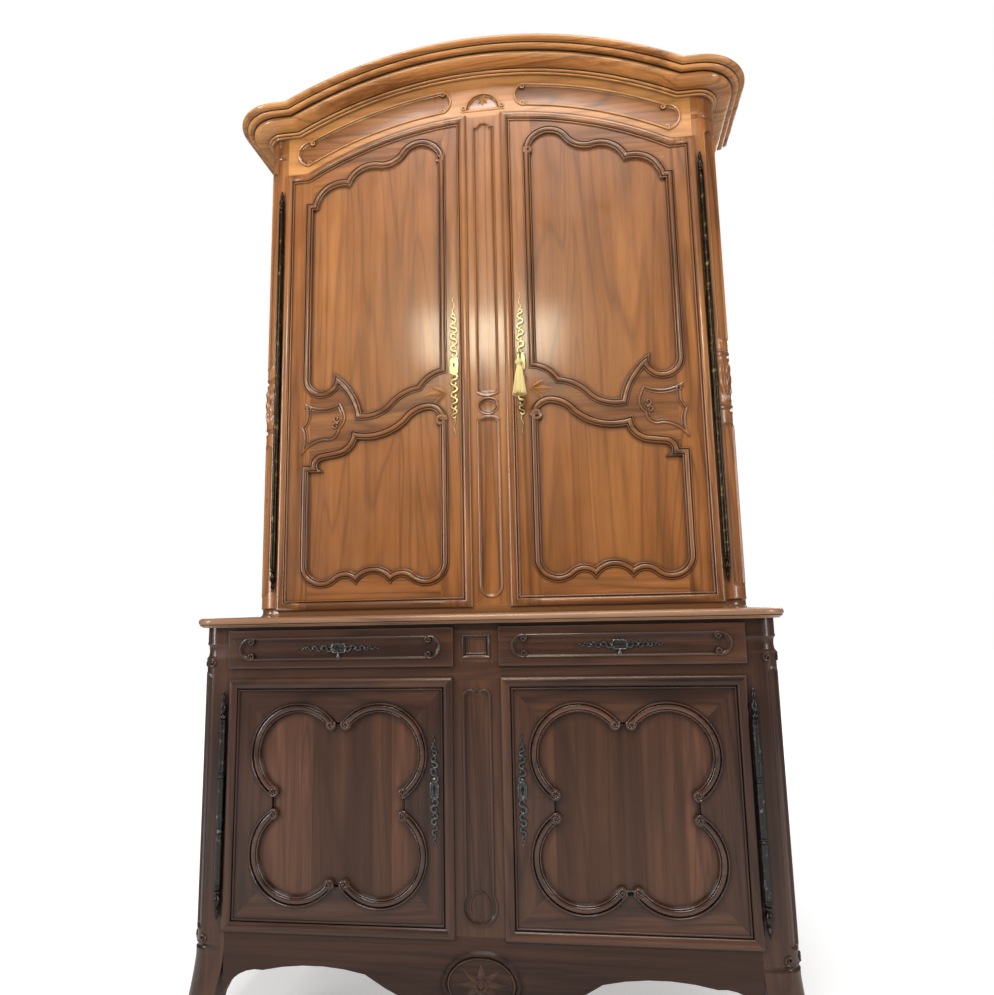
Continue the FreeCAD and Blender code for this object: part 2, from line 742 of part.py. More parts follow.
slab_half = s.lower_half_width + s.slab_side_overhang
slab_corner = s.lower_round + s.slab_side_overhang
bow = slab_corner * (1 - math.sqrt(0.5))
slab_rim = (
    Outline(slab_half, front_edge + slab_corner)
    .line(slab_half, back)
    .line(-slab_half, back, share=0)
    .line(-slab_half, front_edge + slab_corner)
    .arc((-slab_half + bow, front_edge + bow), (-slab_half + slab_corner, front_edge))
    .line(slab_half - slab_corner, front_edge)
    .arc((slab_half - bow, front_edge + bow), (slab_half, front_edge + slab_corner))
)
edge = s.slab_edge_round
groove = edge * 0.7
slab_profile = [(groove, s.slab_thick * 0.72), (0, s.slab_thick * 0.7), (0, edge)]
for degrees in (30, 60, 90):
    turn = math.radians(degrees)
    slab_profile.append((edge * (1 - math.cos(turn)), edge * (1 - math.sin(turn))))
slab = carved_board(0, s.slab_thick, slab_rim, slab_profile)
slab.rotate(Vector(0, 0, 0), Vector(1, 0, 0), -90)
slab.translate(Vector(0, 0, slab_top))
node("top_slab", feature(slab))

# Carved fronts that don't move: apron, centre stiles, drawer divider, frieze


def bead(base):
    """Profile of the rounded edge of a sunk panel, on a field at a depth."""
    return [(0, base), (s.bead_width * 0.35, base + s.sink * 0.3), (s.bead_width, base + s.sink)]


def oval(x, z, half_width, half_height):
    """An oval round a middle point."""
    slant = math.sqrt(0.5)
    outline = Outline(x + half_width, z)
    for right, up, end in ((1, 1, (x, z + half_height)), (-1, 1, (x - half_width, z)),
                           (-1, -1, (x, z - half_height)), (1, -1, (x + half_width, z))):
        outline.arc((x + right * half_width * slant, z + up * half_height * slant), end)
    return outline


half = lower_opening_half
knee = s.base_height * 0.45
belly = s.base_height * 0.36
apron_outline = (
    Outline(-half, lower_sill)
    .line(-half, knee)
    .arc((-half * 0.93, knee * 1.42), (-half * 0.84, knee * 1.5))
    .arc((-half * 0.62, knee * 1.62), (-half * 0.44, knee * 1.5))
    .arc((-half * 0.34, knee * 1.2), (-half * 0.2, belly * 1.12))
    .arc((0, belly), (half * 0.2, belly * 1.12))
    .arc((half * 0.34, knee * 1.2), (half * 0.44, knee * 1.5))
    .arc((half * 0.62, knee * 1.62), (half * 0.84, knee * 1.5))
    .arc((half * 0.93, knee * 1.42), (half, knee))
    .line(half, lower_sill)
    .close()
)
medal_proud = s.door_proud - s.sink
medal_rim = oval(0, s.base_height - s.medal_gap - s.medal_rise, s.medal_half, s.medal_rise)
medal = carved_board(
    lower_face - medal_proud, medal_proud + s.sink, medal_rim,
    [(0, medal_proud)] + half_round(s.medal_ring, s.bead_rise, 0, 2),
    recesses=[(medal_rim.inset(s.medal_ring + 1), [(0, s.bead_rise), (s.sink, medal_proud)])],
)
node("apron", feature(extruded(apron_outline, lower_face, lower_rail_back).fuse(medal).removeSplitter()))

stile_panel = s.lower_stile_half * 0.5
ear = stile_panel * 0.45
stile_low = lower_sill + s.stile_margin
stile_high = mid_rail_low - s.stile_margin
lower_stile_panel = (
    Outline(-stile_panel, stile_low + stile_panel * 2)
    .arc((0, stile_low), (stile_panel, stile_low + stile_panel * 2))
    .line(stile_panel, stile_high - ear)
    .arc((stile_panel * 0.75, stile_high - ear * 0.1), (ear * 0.5, stile_high - ear * 0.3))
    .line(0, stile_high + ear * 0.3)
    .line(-ear * 0.5, stile_high - ear * 0.3)
    .arc((-stile_panel * 0.75, stile_high - ear * 0.1), (-stile_panel, stile_high - ear))
    .close()
)
lower_stile_x = (-s.lower_stile_half, s.lower_stile_half)
lower_stile = carved_board(
    lower_face, s.stile_thick, rectangle(lower_stile_x, (lower_sill, mid_rail_low)),
    [(0, 0)], recesses=[(lower_stile_panel, bead(0))],
)
divider_margin = s.stile_margin / 2
divider_panel = rectangle((-stile_panel, stile_panel),
                          (mid_rail_high + divider_margin, top_rail_low - divider_margin))
divider = carved_board(
    lower_face, s.stile_thick, rectangle(lower_stile_x, (mid_rail_high, top_rail_low)),
    [(0, 0)], recesses=[(divider_panel, bead(0))],
)
node("drawer_divider", feature(divider))

stile_top = arch_height(s.arch_radius - s.door_lip, s.upper_stile_half)
oval_level = upper_door_bottom + s.mid_rail_rise + s.oval_raise
oval_half = s.oval_half_width
ledge = s.oval_half_height + s.oval_gap
ledge_end = ledge + s.stile_margin / 2
upper_stile_high = stile_top - s.stile_margin
upper_stile_foot = upper_sill + s.stile_margin
upper_stile_panel = (
    Outline(-oval_half, oval_level + ledge_end)
    .arc((0, oval_level + ledge), (oval_half, oval_level + ledge_end))
    .line(oval_half, upper_stile_high - ear)
    .line(oval_half * 0.65, upper_stile_high - ear)
    .arc((0, upper_stile_high), (-oval_half * 0.65, upper_stile_high - ear))
    .line(-oval_half, upper_stile_high - ear)
    .close()
)
upper_stile_low = (
    Outline(-oval_half, upper_stile_foot + oval_half)
    .arc((0, upper_stile_foot), (oval_half, upper_stile_foot + oval_half))
    .line(oval_half, oval_level - ledge_end)
    .arc((0, oval_level - ledge), (-oval_half, oval_level - ledge_end))
    .close()
)
upper_stile = carved_board(
    upper_face, s.stile_thick, rectangle(stile_x, (upper_sill, stile_top)), [(0, 0)],
    recesses=[
        (upper_stile_panel, bead(0)),
        (oval(0, oval_level, oval_half, s.oval_half_height), bead(0)),
        (upper_stile_low, bead(0)),
    ],
)

opening_radius = s.arch_radius - s.door_lip
opening_shoulder = upper_door_shoulder - s.door_lip
opening_break = math.sqrt(opening_radius**2 - (opening_shoulder - arch_centre) ** 2)
frieze_radius = bed_radius + s.cornice_lap
frieze_break = math.sqrt(frieze_radius**2 - (upper_top - arch_centre) ** 2)
cornice_flats = flat_count(bed_radius, 2 * math.asin(cornice_break / bed_radius))


def on_arch(radius, x):
    return x, arch_height(radius, x)


def arch_via(radius, a, b):
    """The arch's point half way round between two places."""
    turn = (math.asin(a / radius) + math.asin(b / radius)) / 2
    return radius * math.sin(turn), arch_centre + radius * math.cos(turn)


half, stile_half = upper_opening_half, s.upper_stile_half
frieze_rim = (
    Outline(-half, opening_shoulder)
    .line(-opening_break, opening_shoulder)
    .arc(arch_via(opening_radius, -opening_break, -stile_half), on_arch(opening_radius, -stile_half))
    .line(*on_arch(opening_radius, stile_half))
    .arc(arch_via(opening_radius, stile_half, opening_break), (opening_break, opening_shoulder))
    .line(half, opening_shoulder)
    .line(half, upper_top)
    .line(frieze_break, upper_top)
    .arc((0, arch_centre + frieze_radius), (-frieze_break, upper_top), flats=cornice_flats)
    .line(-half, upper_top)
    .close()
)
panel_low = s.arch_radius + s.frieze_height * 0.2
panel_high = s.arch_radius + s.frieze_height * 0.76
panel_middle = (panel_low + panel_high) / 2
panel_in, panel_out = s.frieze_panel_in, upper_opening_half - s.frieze_margin
panel_bulge = s.frieze_height / 4
frieze_panels = []
for side in (1, -1):
    near, far, top_end = side * panel_in, side * panel_out, side * (panel_out - panel_bulge / 4)
    frieze_panels.append(
        Outline(*on_arch(panel_low, near))
        .arc(arch_via(panel_low, near, far), on_arch(panel_low, far))
        .arc(on_arch(panel_middle, side * (panel_out + panel_bulge)), on_arch(panel_high, top_end))
        .arc(arch_via(panel_high, top_end, near), on_arch(panel_high, near))
        .arc(on_arch(panel_middle, side * (panel_in - panel_bulge * 2 / 3)), on_arch(panel_low, near))
    )
lunette_base = arch_centre + panel_low - panel_bulge / 4
lunette = (
    Outline(-s.lunette_half, lunette_base)
    .line(s.lunette_half, lunette_base)
    .arc((0, lunette_base + s.lunette_half), (-s.lunette_half, lunette_base))
)
frieze = carved_board(
    upper_face, s.rail_thick, frieze_rim, [(0, 0)],
    recesses=[(outline, bead(0)) for outline in frieze_panels + [lunette]],
)
node("frieze_rail", feature(frieze))

# The cornice: an arched front and two rounded returns, all of one profile


def cornice_profile():
    """(rise, reach) points of the cornice, from its lowest inner corner."""
    rise, reach = s.cornice_height, s.cornice_reach
    points = [(0, 0)]
    for level, out in ((0, 0.2), (0.1, 0.36), (0.21, 0.74)):
        points += [(rise * level, s.bed_reach * out), (rise * (level + 0.08), s.bed_reach * (out + 0.12))]
    low, high, near, far = rise * 0.32, rise * 0.67, s.bed_reach, reach * 0.7
    for turn in (0, 45, 90):
        angle = math.radians(turn)
        points.append((low + (high - low) * math.sin(angle), far - (far - near) * math.cos(angle)))
    points += [(high, reach * 0.85), (rise * 0.76, reach * 0.89), (rise * 0.8, reach * 0.97)]
    points += [(rise * 0.88, reach), (rise, reach * 0.96)]
    points += [(rise, -s.cornice_tail), (s.cornice_lap, -s.cornice_tail), (s.cornice_lap, 0)]
    return points


cornice_end = upper_half_width - s.upper_round


def cornice_row(rise, reach):
    """One line of the cornice's front, from right to left."""
    y = upper_face - reach
    radius, level = bed_radius + rise, bed_level + rise
    turn = math.acos((level - arch_centre) / radius)
    row = [Vector(cornice_end, y, level)]
    for step in range(cornice_flats + 1):
        angle = turn * (1 - 2 * step / cornice_flats)
        row.append(Vector(radius * math.sin(angle), y, arch_centre + radius * math.cos(angle)))
    return row + [Vector(-cornice_end, y, level)]


profile = cornice_profile()
surfaces = []
for here, there in zip(profile, profile[1:] + profile[:1]):
    surfaces += strip(cornice_row(*here), cornice_row(*there))
section = [Vector(cornice_end, upper_face - reach, bed_level + rise) for rise, reach in profile]
section_face = Part.Face(Part.makePolygon(section + section[:1]))
left_face = section_face.copy()
left_face.translate(Vector(-2 * cornice_end, 0, 0))
cornice_front = closed(surfaces + [section_face, left_face])
corner = Vector(cornice_end, upper_face + s.upper_round, 0)
rounded = section_face.revolve(corner, Vector(0, 0, 1), 90)
side_face = section_face.copy()
side_face.rotate(corner, Vector(0, 0, 1), 90)
side_run = side_face.extrude(Vector(0, back - upper_face - s.upper_round, 0))
node("cornice", group([feature(cornice_front), both(feature(rounded.fuse(side_run).removeSplitter()))]))

# Doors


def door_rim_profile():
    """Rolled edge and fillet, from a door's outermost line to its flat field."""
    fillet = s.roll_width + s.fillet_width
    roll = half_round(s.roll_width, s.roll_drop, 0, 4)
    return [(rear_inset, lip_depth), (0, lip_depth), (0, s.roll_drop)] + roll + [
        (s.roll_width + s.fillet_width * 0.3, s.fillet_drop),
        (fillet, s.field_drop),
    ]


def panel_profile():
    """Roll and cove round a door panel, from the flat field down to the panel."""
    return [
        (0, s.field_drop),
        (s.moulding_width * 0.26, s.moulding_crest),
        (s.moulding_width * 0.7, s.moulding_crest * 1.5),
        (s.moulding_width, s.panel_drop),
    ]


def door_panel(seat, face):
    """A panel in its seat."""
    return extruded(seat.inset(s.seat_gap), face + s.panel_drop, face + s.panel_drop + s.panel_thick)


panel_left = upper_door_in + s.upper_stile_width
panel_right = upper_door_out - s.upper_stile_width
mid_level = upper_door_bottom + s.mid_rail_rise
spur_level = upper_door_shoulder - s.spur_drop
foot_level = upper_door_bottom + s.lower_rail_width


panel_width = panel_right - panel_left


def across(share):
    """A place between an upper door's two panel edges."""
    return panel_left + panel_width * share


def under_arch(share, drop):
    """A place below the door's arched top rail, its drop a share of the panel's width."""
    return across(share), arch_height(s.arch_radius, across(share)) - s.top_rail_width - panel_width * drop


def from_rail(share, rise):
    """A place beside the carved middle rail, in shares of the panel's width."""
    return across(share), mid_level + panel_width * rise


def from_foot(share, rise):
    """A place beside the bottom rail, in shares of the panel's width."""
    return across(share), foot_level + panel_width * rise


upper_panel = (
    Outline(*under_arch(0, 0.168))
    .arc(under_arch(0.18, 0), under_arch(0.32, 0.044))
    .arc(under_arch(0.37, 0.082), under_arch(0.45, 0.08))
    .arc(under_arch(0.57, 0.04), under_arch(0.71, 0.096))
    .arc(under_arch(0.84, 0.063), (across(0.955), spur_level))
    .line(panel_right, spur_level)
    .line(*from_rail(1, 0.327))
    .arc(from_rail(0.88, 0.189), from_rail(0.74, 0.26))
    .arc(from_rail(0.67, 0.164), from_rail(0.63, 0.029))
    .arc(from_rail(0.5, 0.029), from_rail(0.38, 0.09))
    .arc(from_rail(0.28, 0.17), from_rail(0.176, 0.197))
    .arc(from_rail(0.126, 0.262), from_rail(0, 0.308))
    .close()
)
ear_in, ear_out = across(0.857), panel_right - s.moulding_width * 1.1
ear_bend = ear_in + (ear_out - ear_in) * 0.73
lower_panel = (
    Outline(*from_rail(0, -0.019))
    .arc(from_rail(0.031, 0.078), from_rail(0.13, 0.124))
    .arc(from_rail(0.222, 0.103), from_rail(0.312, 0.031))
    .arc(from_rail(0.465, -0.05), from_rail(0.66, -0.038))
    .arc(from_rail(0.68, -0.12), from_rail(0.746, -0.166))
    .line(ear_in, mid_level - panel_width * 0.182)
    .arc((ear_bend, mid_level - panel_width * 0.214), (ear_out, mid_level - panel_width * 0.264))
    .line(*from_rail(1, -0.264))
    .line(*from_foot(1, 0.136))
    .arc(from_foot(0.897, 0.008), from_foot(0.738, 0.042))
    .arc(from_foot(0.68, 0.059), from_foot(0.614, 0.013))
    .arc(from_foot(0.5, 0.084), from_foot(0.386, 0.013))
    .arc(from_foot(0.32, 0.059), from_foot(0.262, 0.042))
    .arc(from_foot(0.103, 0.008), from_foot(0, 0.136))
    .close()
)
seat_in, seat_out = s.panel_seat / panel_width, 1 - s.panel_seat / panel_width
upper_seat = (
    Outline(*under_arch(seat_in, 0.057))
    .line(*under_arch(0.35, 0))
    .line(*under_arch(seat_out, 0.08))
    .line(*from_rail(seat_out, 0.2))
    .line(*from_rail(0.77, 0.2))
    .line(*from_rail(0.69, 0.059))
    .line(*from_rail(0.55, 0.059))
    .line(*from_rail(seat_in, 0.268))
    .close()
)
lower_seat = (
    Outline(*from_rail(seat_in, 0.088))
    .line(*from_rail(0.22, 0.088))
    .line(*from_rail(0.4, -0.075))
    .line(*from_rail(0.66, -0.075))
    .line(*from_rail(seat_out, -0.23))
    .line(across(seat_out), foot_level + s.panel_seat)
    .line(across(seat_in), foot_level + s.panel_seat)
    .close()
)
upper_rim = (
    Outline(upper_door_in, upper_door_bottom)
    .line(upper_door_out, upper_door_bottom)
    .line(upper_door_out, upper_door_shoulder)
    .line(arch_break, upper_door_shoulder)
    .arc(arch_via(s.arch_radius, arch_break, upper_door_in), on_arch(s.arch_radius, upper_door_in))
    .close()
)
upper_frame = carved_board(
    upper_door_face, s.door_thick, upper_rim, door_rim_profile(),
    openings=[(upper_panel, panel_profile(), upper_seat), (lower_panel, panel_profile(), lower_seat)],
)

door_x = (lower_door_in, lower_door_out)
door_z = (lower_door_bottom, lower_door_top)
middle = ((door_x[0] + door_x[1]) / 2, (door_z[0] + door_z[1]) / 2)
side_end, rise_end = math.radians(s.lobe_end_side), math.radians(s.lobe_end_rise)


lobes_half = (door_x[1] - door_x[0]) / 2 - s.lobe_side_margin
lobes_rise = (door_z[1] - door_z[0]) / 2 - s.lobe_top_margin
lobe_radius = min(
    (lobes_half - s.lobe_side_gap / 2) / (1 + math.cos(side_end)),
    (lobes_rise - s.lobe_rise_gap / 2) / (1 + math.sin(rise_end)),
)


def on_lobe(right, up, angle):
    """A point of one lobe, its angle counted from the level outward line."""
    x = middle[0] + right * (lobes_half - lobe_radius * (1 - math.cos(angle)))
    z = middle[1] + up * (lobes_rise - lobe_radius * (1 - math.sin(angle)))
    return x, z


top_end, low_end = math.pi - side_end, -rise_end
half_turn = (top_end + low_end) / 2
side_share, top_share = 1 / math.cos(rise_end), 1 / math.sin(side_end)
quatrefoil = (
    Outline(*on_lobe(1, 1, low_end))
    .arc(on_lobe(1, 1, half_turn), on_lobe(1, 1, top_end))
    .line(*on_lobe(-1, 1, top_end), share=top_share)
    .arc(on_lobe(-1, 1, half_turn), on_lobe(-1, 1, low_end))
    .line(*on_lobe(-1, -1, low_end), share=side_share)
    .arc(on_lobe(-1, -1, half_turn), on_lobe(-1, -1, top_end))
    .line(*on_lobe(1, -1, top_end), share=top_share)
    .arc(on_lobe(1, -1, half_turn), on_lobe(1, -1, low_end))
    .line(*on_lobe(1, 1, low_end), share=side_share)
)
seat_half, seat_rise = lobes_half - s.panel_seat, lobes_rise - s.panel_seat
square_seat = rectangle((middle[0] - seat_half, middle[0] + seat_half),
                        (middle[1] - seat_rise, middle[1] + seat_rise))
lower_frame = carved_board(
    lower_door_face, s.door_thick, rectangle(door_x, door_z), door_rim_profile(),
    openings=[(quatrefoil, panel_profile(), square_seat)],
)

# Locks, bolts, keyholes and escutcheons

keyhole_half = s.key_radius + s.keyhole_gap


class Lock:
    """Where a right-hand door's lock is, and the solids that belong to it."""

    def __init__(self, door_in, stile_half, door_face, key_z, plate_half, lobes):
        rear = door_face + s.door_thick
        field = door_face + s.field_drop
        self.x, self.z, self.rear = door_in + s.lock_inset, key_z, rear
        case_in = stile_half + s.bolt_throw / 2
        bolt_y = (rear + s.lock_wall, rear + s.lock_wall + s.bolt_thick)
        bolt_z = (key_z + s.lock_height * 0.11, key_z + s.lock_height * 0.11 + s.bolt_height)
        gap = s.bolt_gap
        self.bolt = box_shape((case_in + gap, case_in + gap + s.bolt_length), bolt_y, bolt_z)
        room = box_shape((case_in - s.bolt_throw, case_in + s.bolt_length + gap * 2),
                         (bolt_y[0] - gap, bolt_y[1] + gap), (bolt_z[0] - gap, bolt_z[1] + gap))
        self.chamber_front = bolt_y[1] + s.lock_wall / 4
        chamber = box_shape((self.x - s.bit_room, self.x + s.bit_room),
                            (self.chamber_front, rear + s.lock_thick - s.lock_wall / 2),
                            (key_z - s.bit_room, key_z + s.bit_room))
        case = box_shape((case_in, case_in + s.lock_width), (rear, rear + s.lock_thick),
                         (key_z - s.lock_height / 2, key_z + s.lock_height / 2))
        self.keyhole = box_shape((self.x - keyhole_half, self.x + keyhole_half),
                                 (door_face, self.chamber_front + s.lock_wall / 4),
                                 (key_z - s.bit_room, key_z + keyhole_half))
        self.case = case.cut([room, chamber, self.keyhole])
        room = s.lock_wall / 4
        self.mortise = box_shape((stile_half - s.bolt_throw * 0.7, stile_half + room),
                                 (bolt_y[0] - room, bolt_y[1] + room), (bolt_z[0] - room, bolt_z[1] + room))
        outline = plate_outline(self.x, key_z, plate_half, lobes)
        self.plate = extruded(outline, field - s.plate_thick, field).cut(self.keyhole)


def plate_outline(x, z, half_length, lobes, level=False):
    """A keyhole plate with a row of pointed lobes above and below it, or left and right of it."""
    waist, block = s.plate_half_width * 0.3, s.plate_half_width * 1.9
    step = (half_length - block) / lobes
    side = [(s.plate_half_width, block), (waist, block)]
    for lobe in range(lobes):
        swell = s.plate_half_width * (0.95 - 0.45 * lobe / lobes)
        side += [(swell, block + step * (lobe + 0.5)), (waist, block + step * (lobe + 1))]
    quarter = list(reversed(side))
    corners = [(a, -b) for a, b in quarter] + side
    corners += [(-a, b) for a, b in quarter] + [(-a, -b) for a, b in side]
    places = [(x + b, z + a) if level else (x + a, z + b) for a, b in corners]
    outline = Outline(*places[0])
    for place in places[1:]:
        outline.line(*place)
    return outline.close()


upper_lock = Lock(upper_door_in, s.upper_stile_half, upper_door_face,
                  upper_door_bottom + s.upper_keyhole_rise, s.upper_plate_half, lobes=3)
lower_lock = Lock(lower_door_in, s.lower_stile_half, lower_door_face,
                  lower_door_bottom + s.lower_keyhole_rise, s.lower_plate_half, lobes=2)


def two_mortises(lock):
    return Part.makeCompound([lock.mortise, lock.mortise.mirror(Vector(0, 0, 0), Vector(1, 0, 0))])


node("lower_centre_stile", feature(lower_stile.cut(two_mortises(lower_lock))))
node("upper_centre_stile", feature(upper_stile.cut(two_mortises(upper_lock))))


def pair(name, thing):
    """A right-hand sub-part and its mirror image, each with its own name."""
    node(name.format("right"), thing)
    node(name.format("left"), mirrored(thing))


tall = (upper_door_bottom - 1, arch_centre + s.arch_radius)
deep = (upper_door_face - 1, upper_door_face + s.door_thick + 1)
stile_in, stile_out = panel_left + s.moulding_width, panel_right - s.moulding_width
bored = upper_frame.cut(upper_lock.keyhole)
members = [
    bored.common(box_shape((upper_door_in - 1, stile_in), deep, tall)),
    bored.common(box_shape((stile_in, stile_out), deep, tall)),
    bored.common(box_shape((stile_out, upper_door_out + 1), deep, tall)),
]
frame_pieces = [piece for member in members for piece in member.Solids]
panel_pair = [feature(door_panel(seat, upper_door_face)) for seat in (upper_seat, lower_seat)]
pair("upper_{}_door_frame", feature(Part.makeCompound(frame_pieces)))
pair("upper_{}_door_panels", group(panel_pair))


def mitred(frame):
    """A square frame's four members, parted from its corners to its middle."""
    corners = [(door_x[0], door_z[0]), (door_x[1], door_z[0]), (door_x[1], door_z[1]), (door_x[0], door_z[1])]
    pieces = []
    front, rear = lower_door_face - 1, lower_door_face + s.door_thick + 1
    for a, b in zip(corners, corners[1:] + corners[:1]):
        wedge = Outline(*a).line(*b).line(*middle).close()
        pieces += frame.common(extruded(wedge, front, rear)).Solids
    return Part.makeCompound(pieces)


pair("lower_{}_door_frame", feature(mitred(lower_frame).cut(lower_lock.keyhole)))
pair("lower_{}_door_panel", feature(door_panel(square_seat, lower_door_face)))
pair("upper_{}_escutcheon", feature(upper_lock.plate))
pair("upper_{}_lock", feature(upper_lock.case))
pair("upper_{}_bolt", feature(upper_lock.bolt))
pair("lower_{}_lock", group([feature(lower_lock.plate), feature(lower_lock.case)]))
pair("lower_{}_bolt", feature(lower_lock.bolt))

# Hinges: fixed knuckles, pin and finials in one, turning knuckles on the door


def finial(end, outward):
    """(radius, height) points of a turned finial, from the barrel's end to its tip."""
    shape = ((1, 0.0), (0.55, 0.1), (1.05, 0.34), (0.35, 0.66), (0.62, 0.82), (0.05, 1.0))
    return [(s.barrel_radius * wide, end + outward * s.finial_length * far) for wide, far in shape]


def hinge(door_out, frame_face, low, high):
    """The post's and the door's halves of a right-hand hinge."""
    x = door_out + s.barrel_gap + s.barrel_radius
    y = frame_face - s.barrel_radius - s.knuckle_gap
    base = Vector(x, y, 0)
    third = (high - low) / 3
    pin = Part.makeCylinder(s.pin_radius, high - low, Vector(x, y, low))
    pieces = [turned_solid(finial(low, -1), base), turned_solid(finial(high, 1), base)]
    for bottom, top in ((low, low + third), (high - third, high)):
        pieces.append(turned_solid([(s.barrel_radius, bottom), (s.barrel_radius, top)], base))
        pieces.append(box_shape((x - s.leaf_thick, x), (y, frame_face), (bottom, top)))
    fixed = pin.fuse(pieces).removeSplitter()
    z = (low + third + s.knuckle_gap, high - third - s.knuckle_gap)
    barrel = turned_solid([(s.barrel_radius, z[0]), (s.barrel_radius, z[1])], base)
    leaf_y = (frame_face - s.door_proud + s.roll_drop, frame_face - s.knuckle_gap)
    leaf = box_shape((door_out, x - s.pin_radius), leaf_y, z)
    bore = Part.makeCylinder(s.pin_radius + s.running_gap, high - low, Vector(x, y, low))
    return fixed, barrel.fuse(leaf).cut(bore).removeSplitter()


upper_fixed, upper_moving = hinge(upper_door_out, upper_face, upper_door_bottom + s.upper_barrel_inset,
                                  upper_door_shoulder - s.upper_barrel_inset)
lower_fixed, lower_moving = hinge(lower_door_out, lower_face, lower_door_bottom + s.lower_barrel_inset,
                                  lower_door_top - s.lower_barrel_inset)
node("upper_post_hinges", both(feature(upper_fixed)))
node("lower_post_hinges", both(feature(lower_fixed)))
pair("upper_{}_door_hinge", feature(upper_moving))
pair("lower_{}_door_hinge", feature(lower_moving))

# Drawers

drawer_x = (s.lower_stile_half - s.drawer_lip, lower_opening_half + s.drawer_lip)
drawer_z = (drawer_bottom_edge, drawer_top_edge)
scroll = s.drawer_front_height * 0.27
drawer_mid = ((drawer_x[0] + drawer_x[1]) / 2, (drawer_z[0] + drawer_z[1]) / 2)
end_low, end_high = drawer_mid[1] - scroll, drawer_mid[1] + scroll
inner_end, outer_end = drawer_x[0] + scroll * 2.4, drawer_x[1] - scroll * 2.4
drawer_panel = (
    Outline(inner_end, end_low)
    .line(outer_end, end_low)
    .arc((outer_end + scroll * 1.1, drawer_mid[1]), (outer_end, end_high))
    .line(inner_end, end_high)
    .arc((inner_end - scroll * 1.1, drawer_mid[1]), (inner_end, end_low))
)
drawer_inset = s.drawer_lip + s.door_clearance
drawer_rim = [(drawer_inset, lip_depth), (0, lip_depth), (0, s.bead_width), (s.bead_rise, s.bead_rise)]
front = carved_board(
    lower_door_face, s.door_thick, rectangle(drawer_x, drawer_z), drawer_rim + [(s.bead_width, 0)],
    recesses=[(drawer_panel, bead(0))],
)
pair("{}_drawer_front", feature(front))
box_x = (s.lower_stile_half + s.door_clearance, lower_opening_half - s.door_clearance)
box_y = (lower_door_face + s.door_thick, lower_door_face + s.door_thick + s.drawer_length)
box_z = (mid_rail_high + s.seat_gap, top_rail_low - s.door_clearance * 2)
inner_x = (box_x[0] + s.drawer_side, box_x[1] - s.drawer_side)
drawer_box = group([
    board((box_x[0], inner_x[0]), box_y, box_z),
    board((inner_x[1], box_x[1]), box_y, box_z),
    board(inner_x, (box_y[1] - s.drawer_side, box_y[1]), box_z),
    board(inner_x, (box_y[0], box_y[1] - s.drawer_side), (box_z[0], box_z[0] + s.drawer_bottom)),
])
pair("{}_drawer_box", drawer_box)
plate_y = (lower_door_face + s.sink - s.plate_thick, lower_door_face + s.sink)
drawer_plate = extruded(plate_outline(*drawer_mid, s.drawer_plate_half, 2, level=True), *plate_y)
lock_case = box_shape((drawer_mid[0] - s.lock_width / 2, drawer_mid[0] + s.lock_width / 2),
                      (box_y[0], box_y[0] + s.lock_thick / 2), (drawer_mid[1] - s.lock_thick / 2, box_z[1]))
pair("{}_drawer_lock", group([feature(drawer_plate), feature(lock_case)]))

# The key in the right upper door, and the tassel that hangs from it

key_y = upper_door_face - s.key_reach
bit_y = (upper_lock.chamber_front + s.knuckle_gap, upper_lock.chamber_front + s.bolt_thick)
sideways, forward, upward = Vector(1, 0, 0), Vector(0, 1, 0), Vector(0, 0, 1)


def key_rod(front, rear):
    """A rod on the key's axis between two depths."""
    start = Vector(upper_lock.x, front, upper_lock.z)
    return polygon_face(ring_points(start, s.key_radius, forward, upward)).extrude(forward * (rear - front))


bow_centre = Vector(upper_lock.x - s.key_radius * 0.8, key_y + s.bow_radius, upper_lock.z)
bow_thick = sideways * s.key_radius * 1.6
disc = polygon_face(ring_points(bow_centre, s.bow_radius, sideways, forward)).extrude(bow_thick)
eye = polygon_face(ring_points(bow_centre, s.bow_radius * 0.62, sideways, forward)).extrude(bow_thick)
bit_half = s.key_radius * 0.4
bit = box_shape((upper_lock.x - bit_half, upper_lock.x + bit_half), bit_y,
                (upper_lock.z - s.bit_room + s.knuckle_gap * 2, upper_lock.z))
knot_end = upper_door_face - s.tassel_reach + s.key_radius + s.seat_gap
stem = key_rod(key_y + s.bow_radius * 1.7, bit_y[1])
knot = key_rod(knot_end, key_y + s.bow_radius * 0.3)
node("key", feature(disc.cut(eye).fuse([stem, bit, knot]).removeSplitter()))

cord = s.key_radius * 0.55
length = s.tassel_length
tassel_profile = (
    (s.key_radius * 0.4, s.key_radius),
    (s.key_radius, 0),
    (cord, -s.key_radius),
    (cord, -length * 0.11),
    (s.tassel_hem * 0.36, -length * 0.15),
    (s.tassel_hem * 0.36, -length * 0.21),
    (s.tassel_hem * 0.25, -length * 0.27),
    (s.tassel_hem * 0.4, -length * 0.31),
    (s.tassel_hem * 0.62, -length * 0.55),
    (s.tassel_hem, -length),
)
tassel = turned_solid(tassel_profile, Vector(upper_lock.x, upper_door_face - s.tassel_reach, upper_lock.z))
node("tassel", feature(tassel))

# Check and write

doc.recompute()
for thing in doc.Objects:
    if "Invalid" in thing.State or "Error" in thing.State:
        raise RuntimeError(f"{thing.Label} failed to build")
for thing in nodes:
    if thing.Shape.isNull() or not thing.Shape.isValid():
        raise RuntimeError(f"{thing.Label} has no valid shape")
    for solid in thing.Shape.Solids:
        if solid.Volume <= 0:
            raise RuntimeError(f"{thing.Label} has an inside-out solid")
os.makedirs("parts", exist_ok=True)
for thing in nodes:
    thing.Shape.exportStep(f"parts/{thing.Label}.step")
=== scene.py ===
import json
import random
from math import asin, atan2, ceil, copysign, cos, degrees, dist, hypot, pi, radians, sin, sqrt

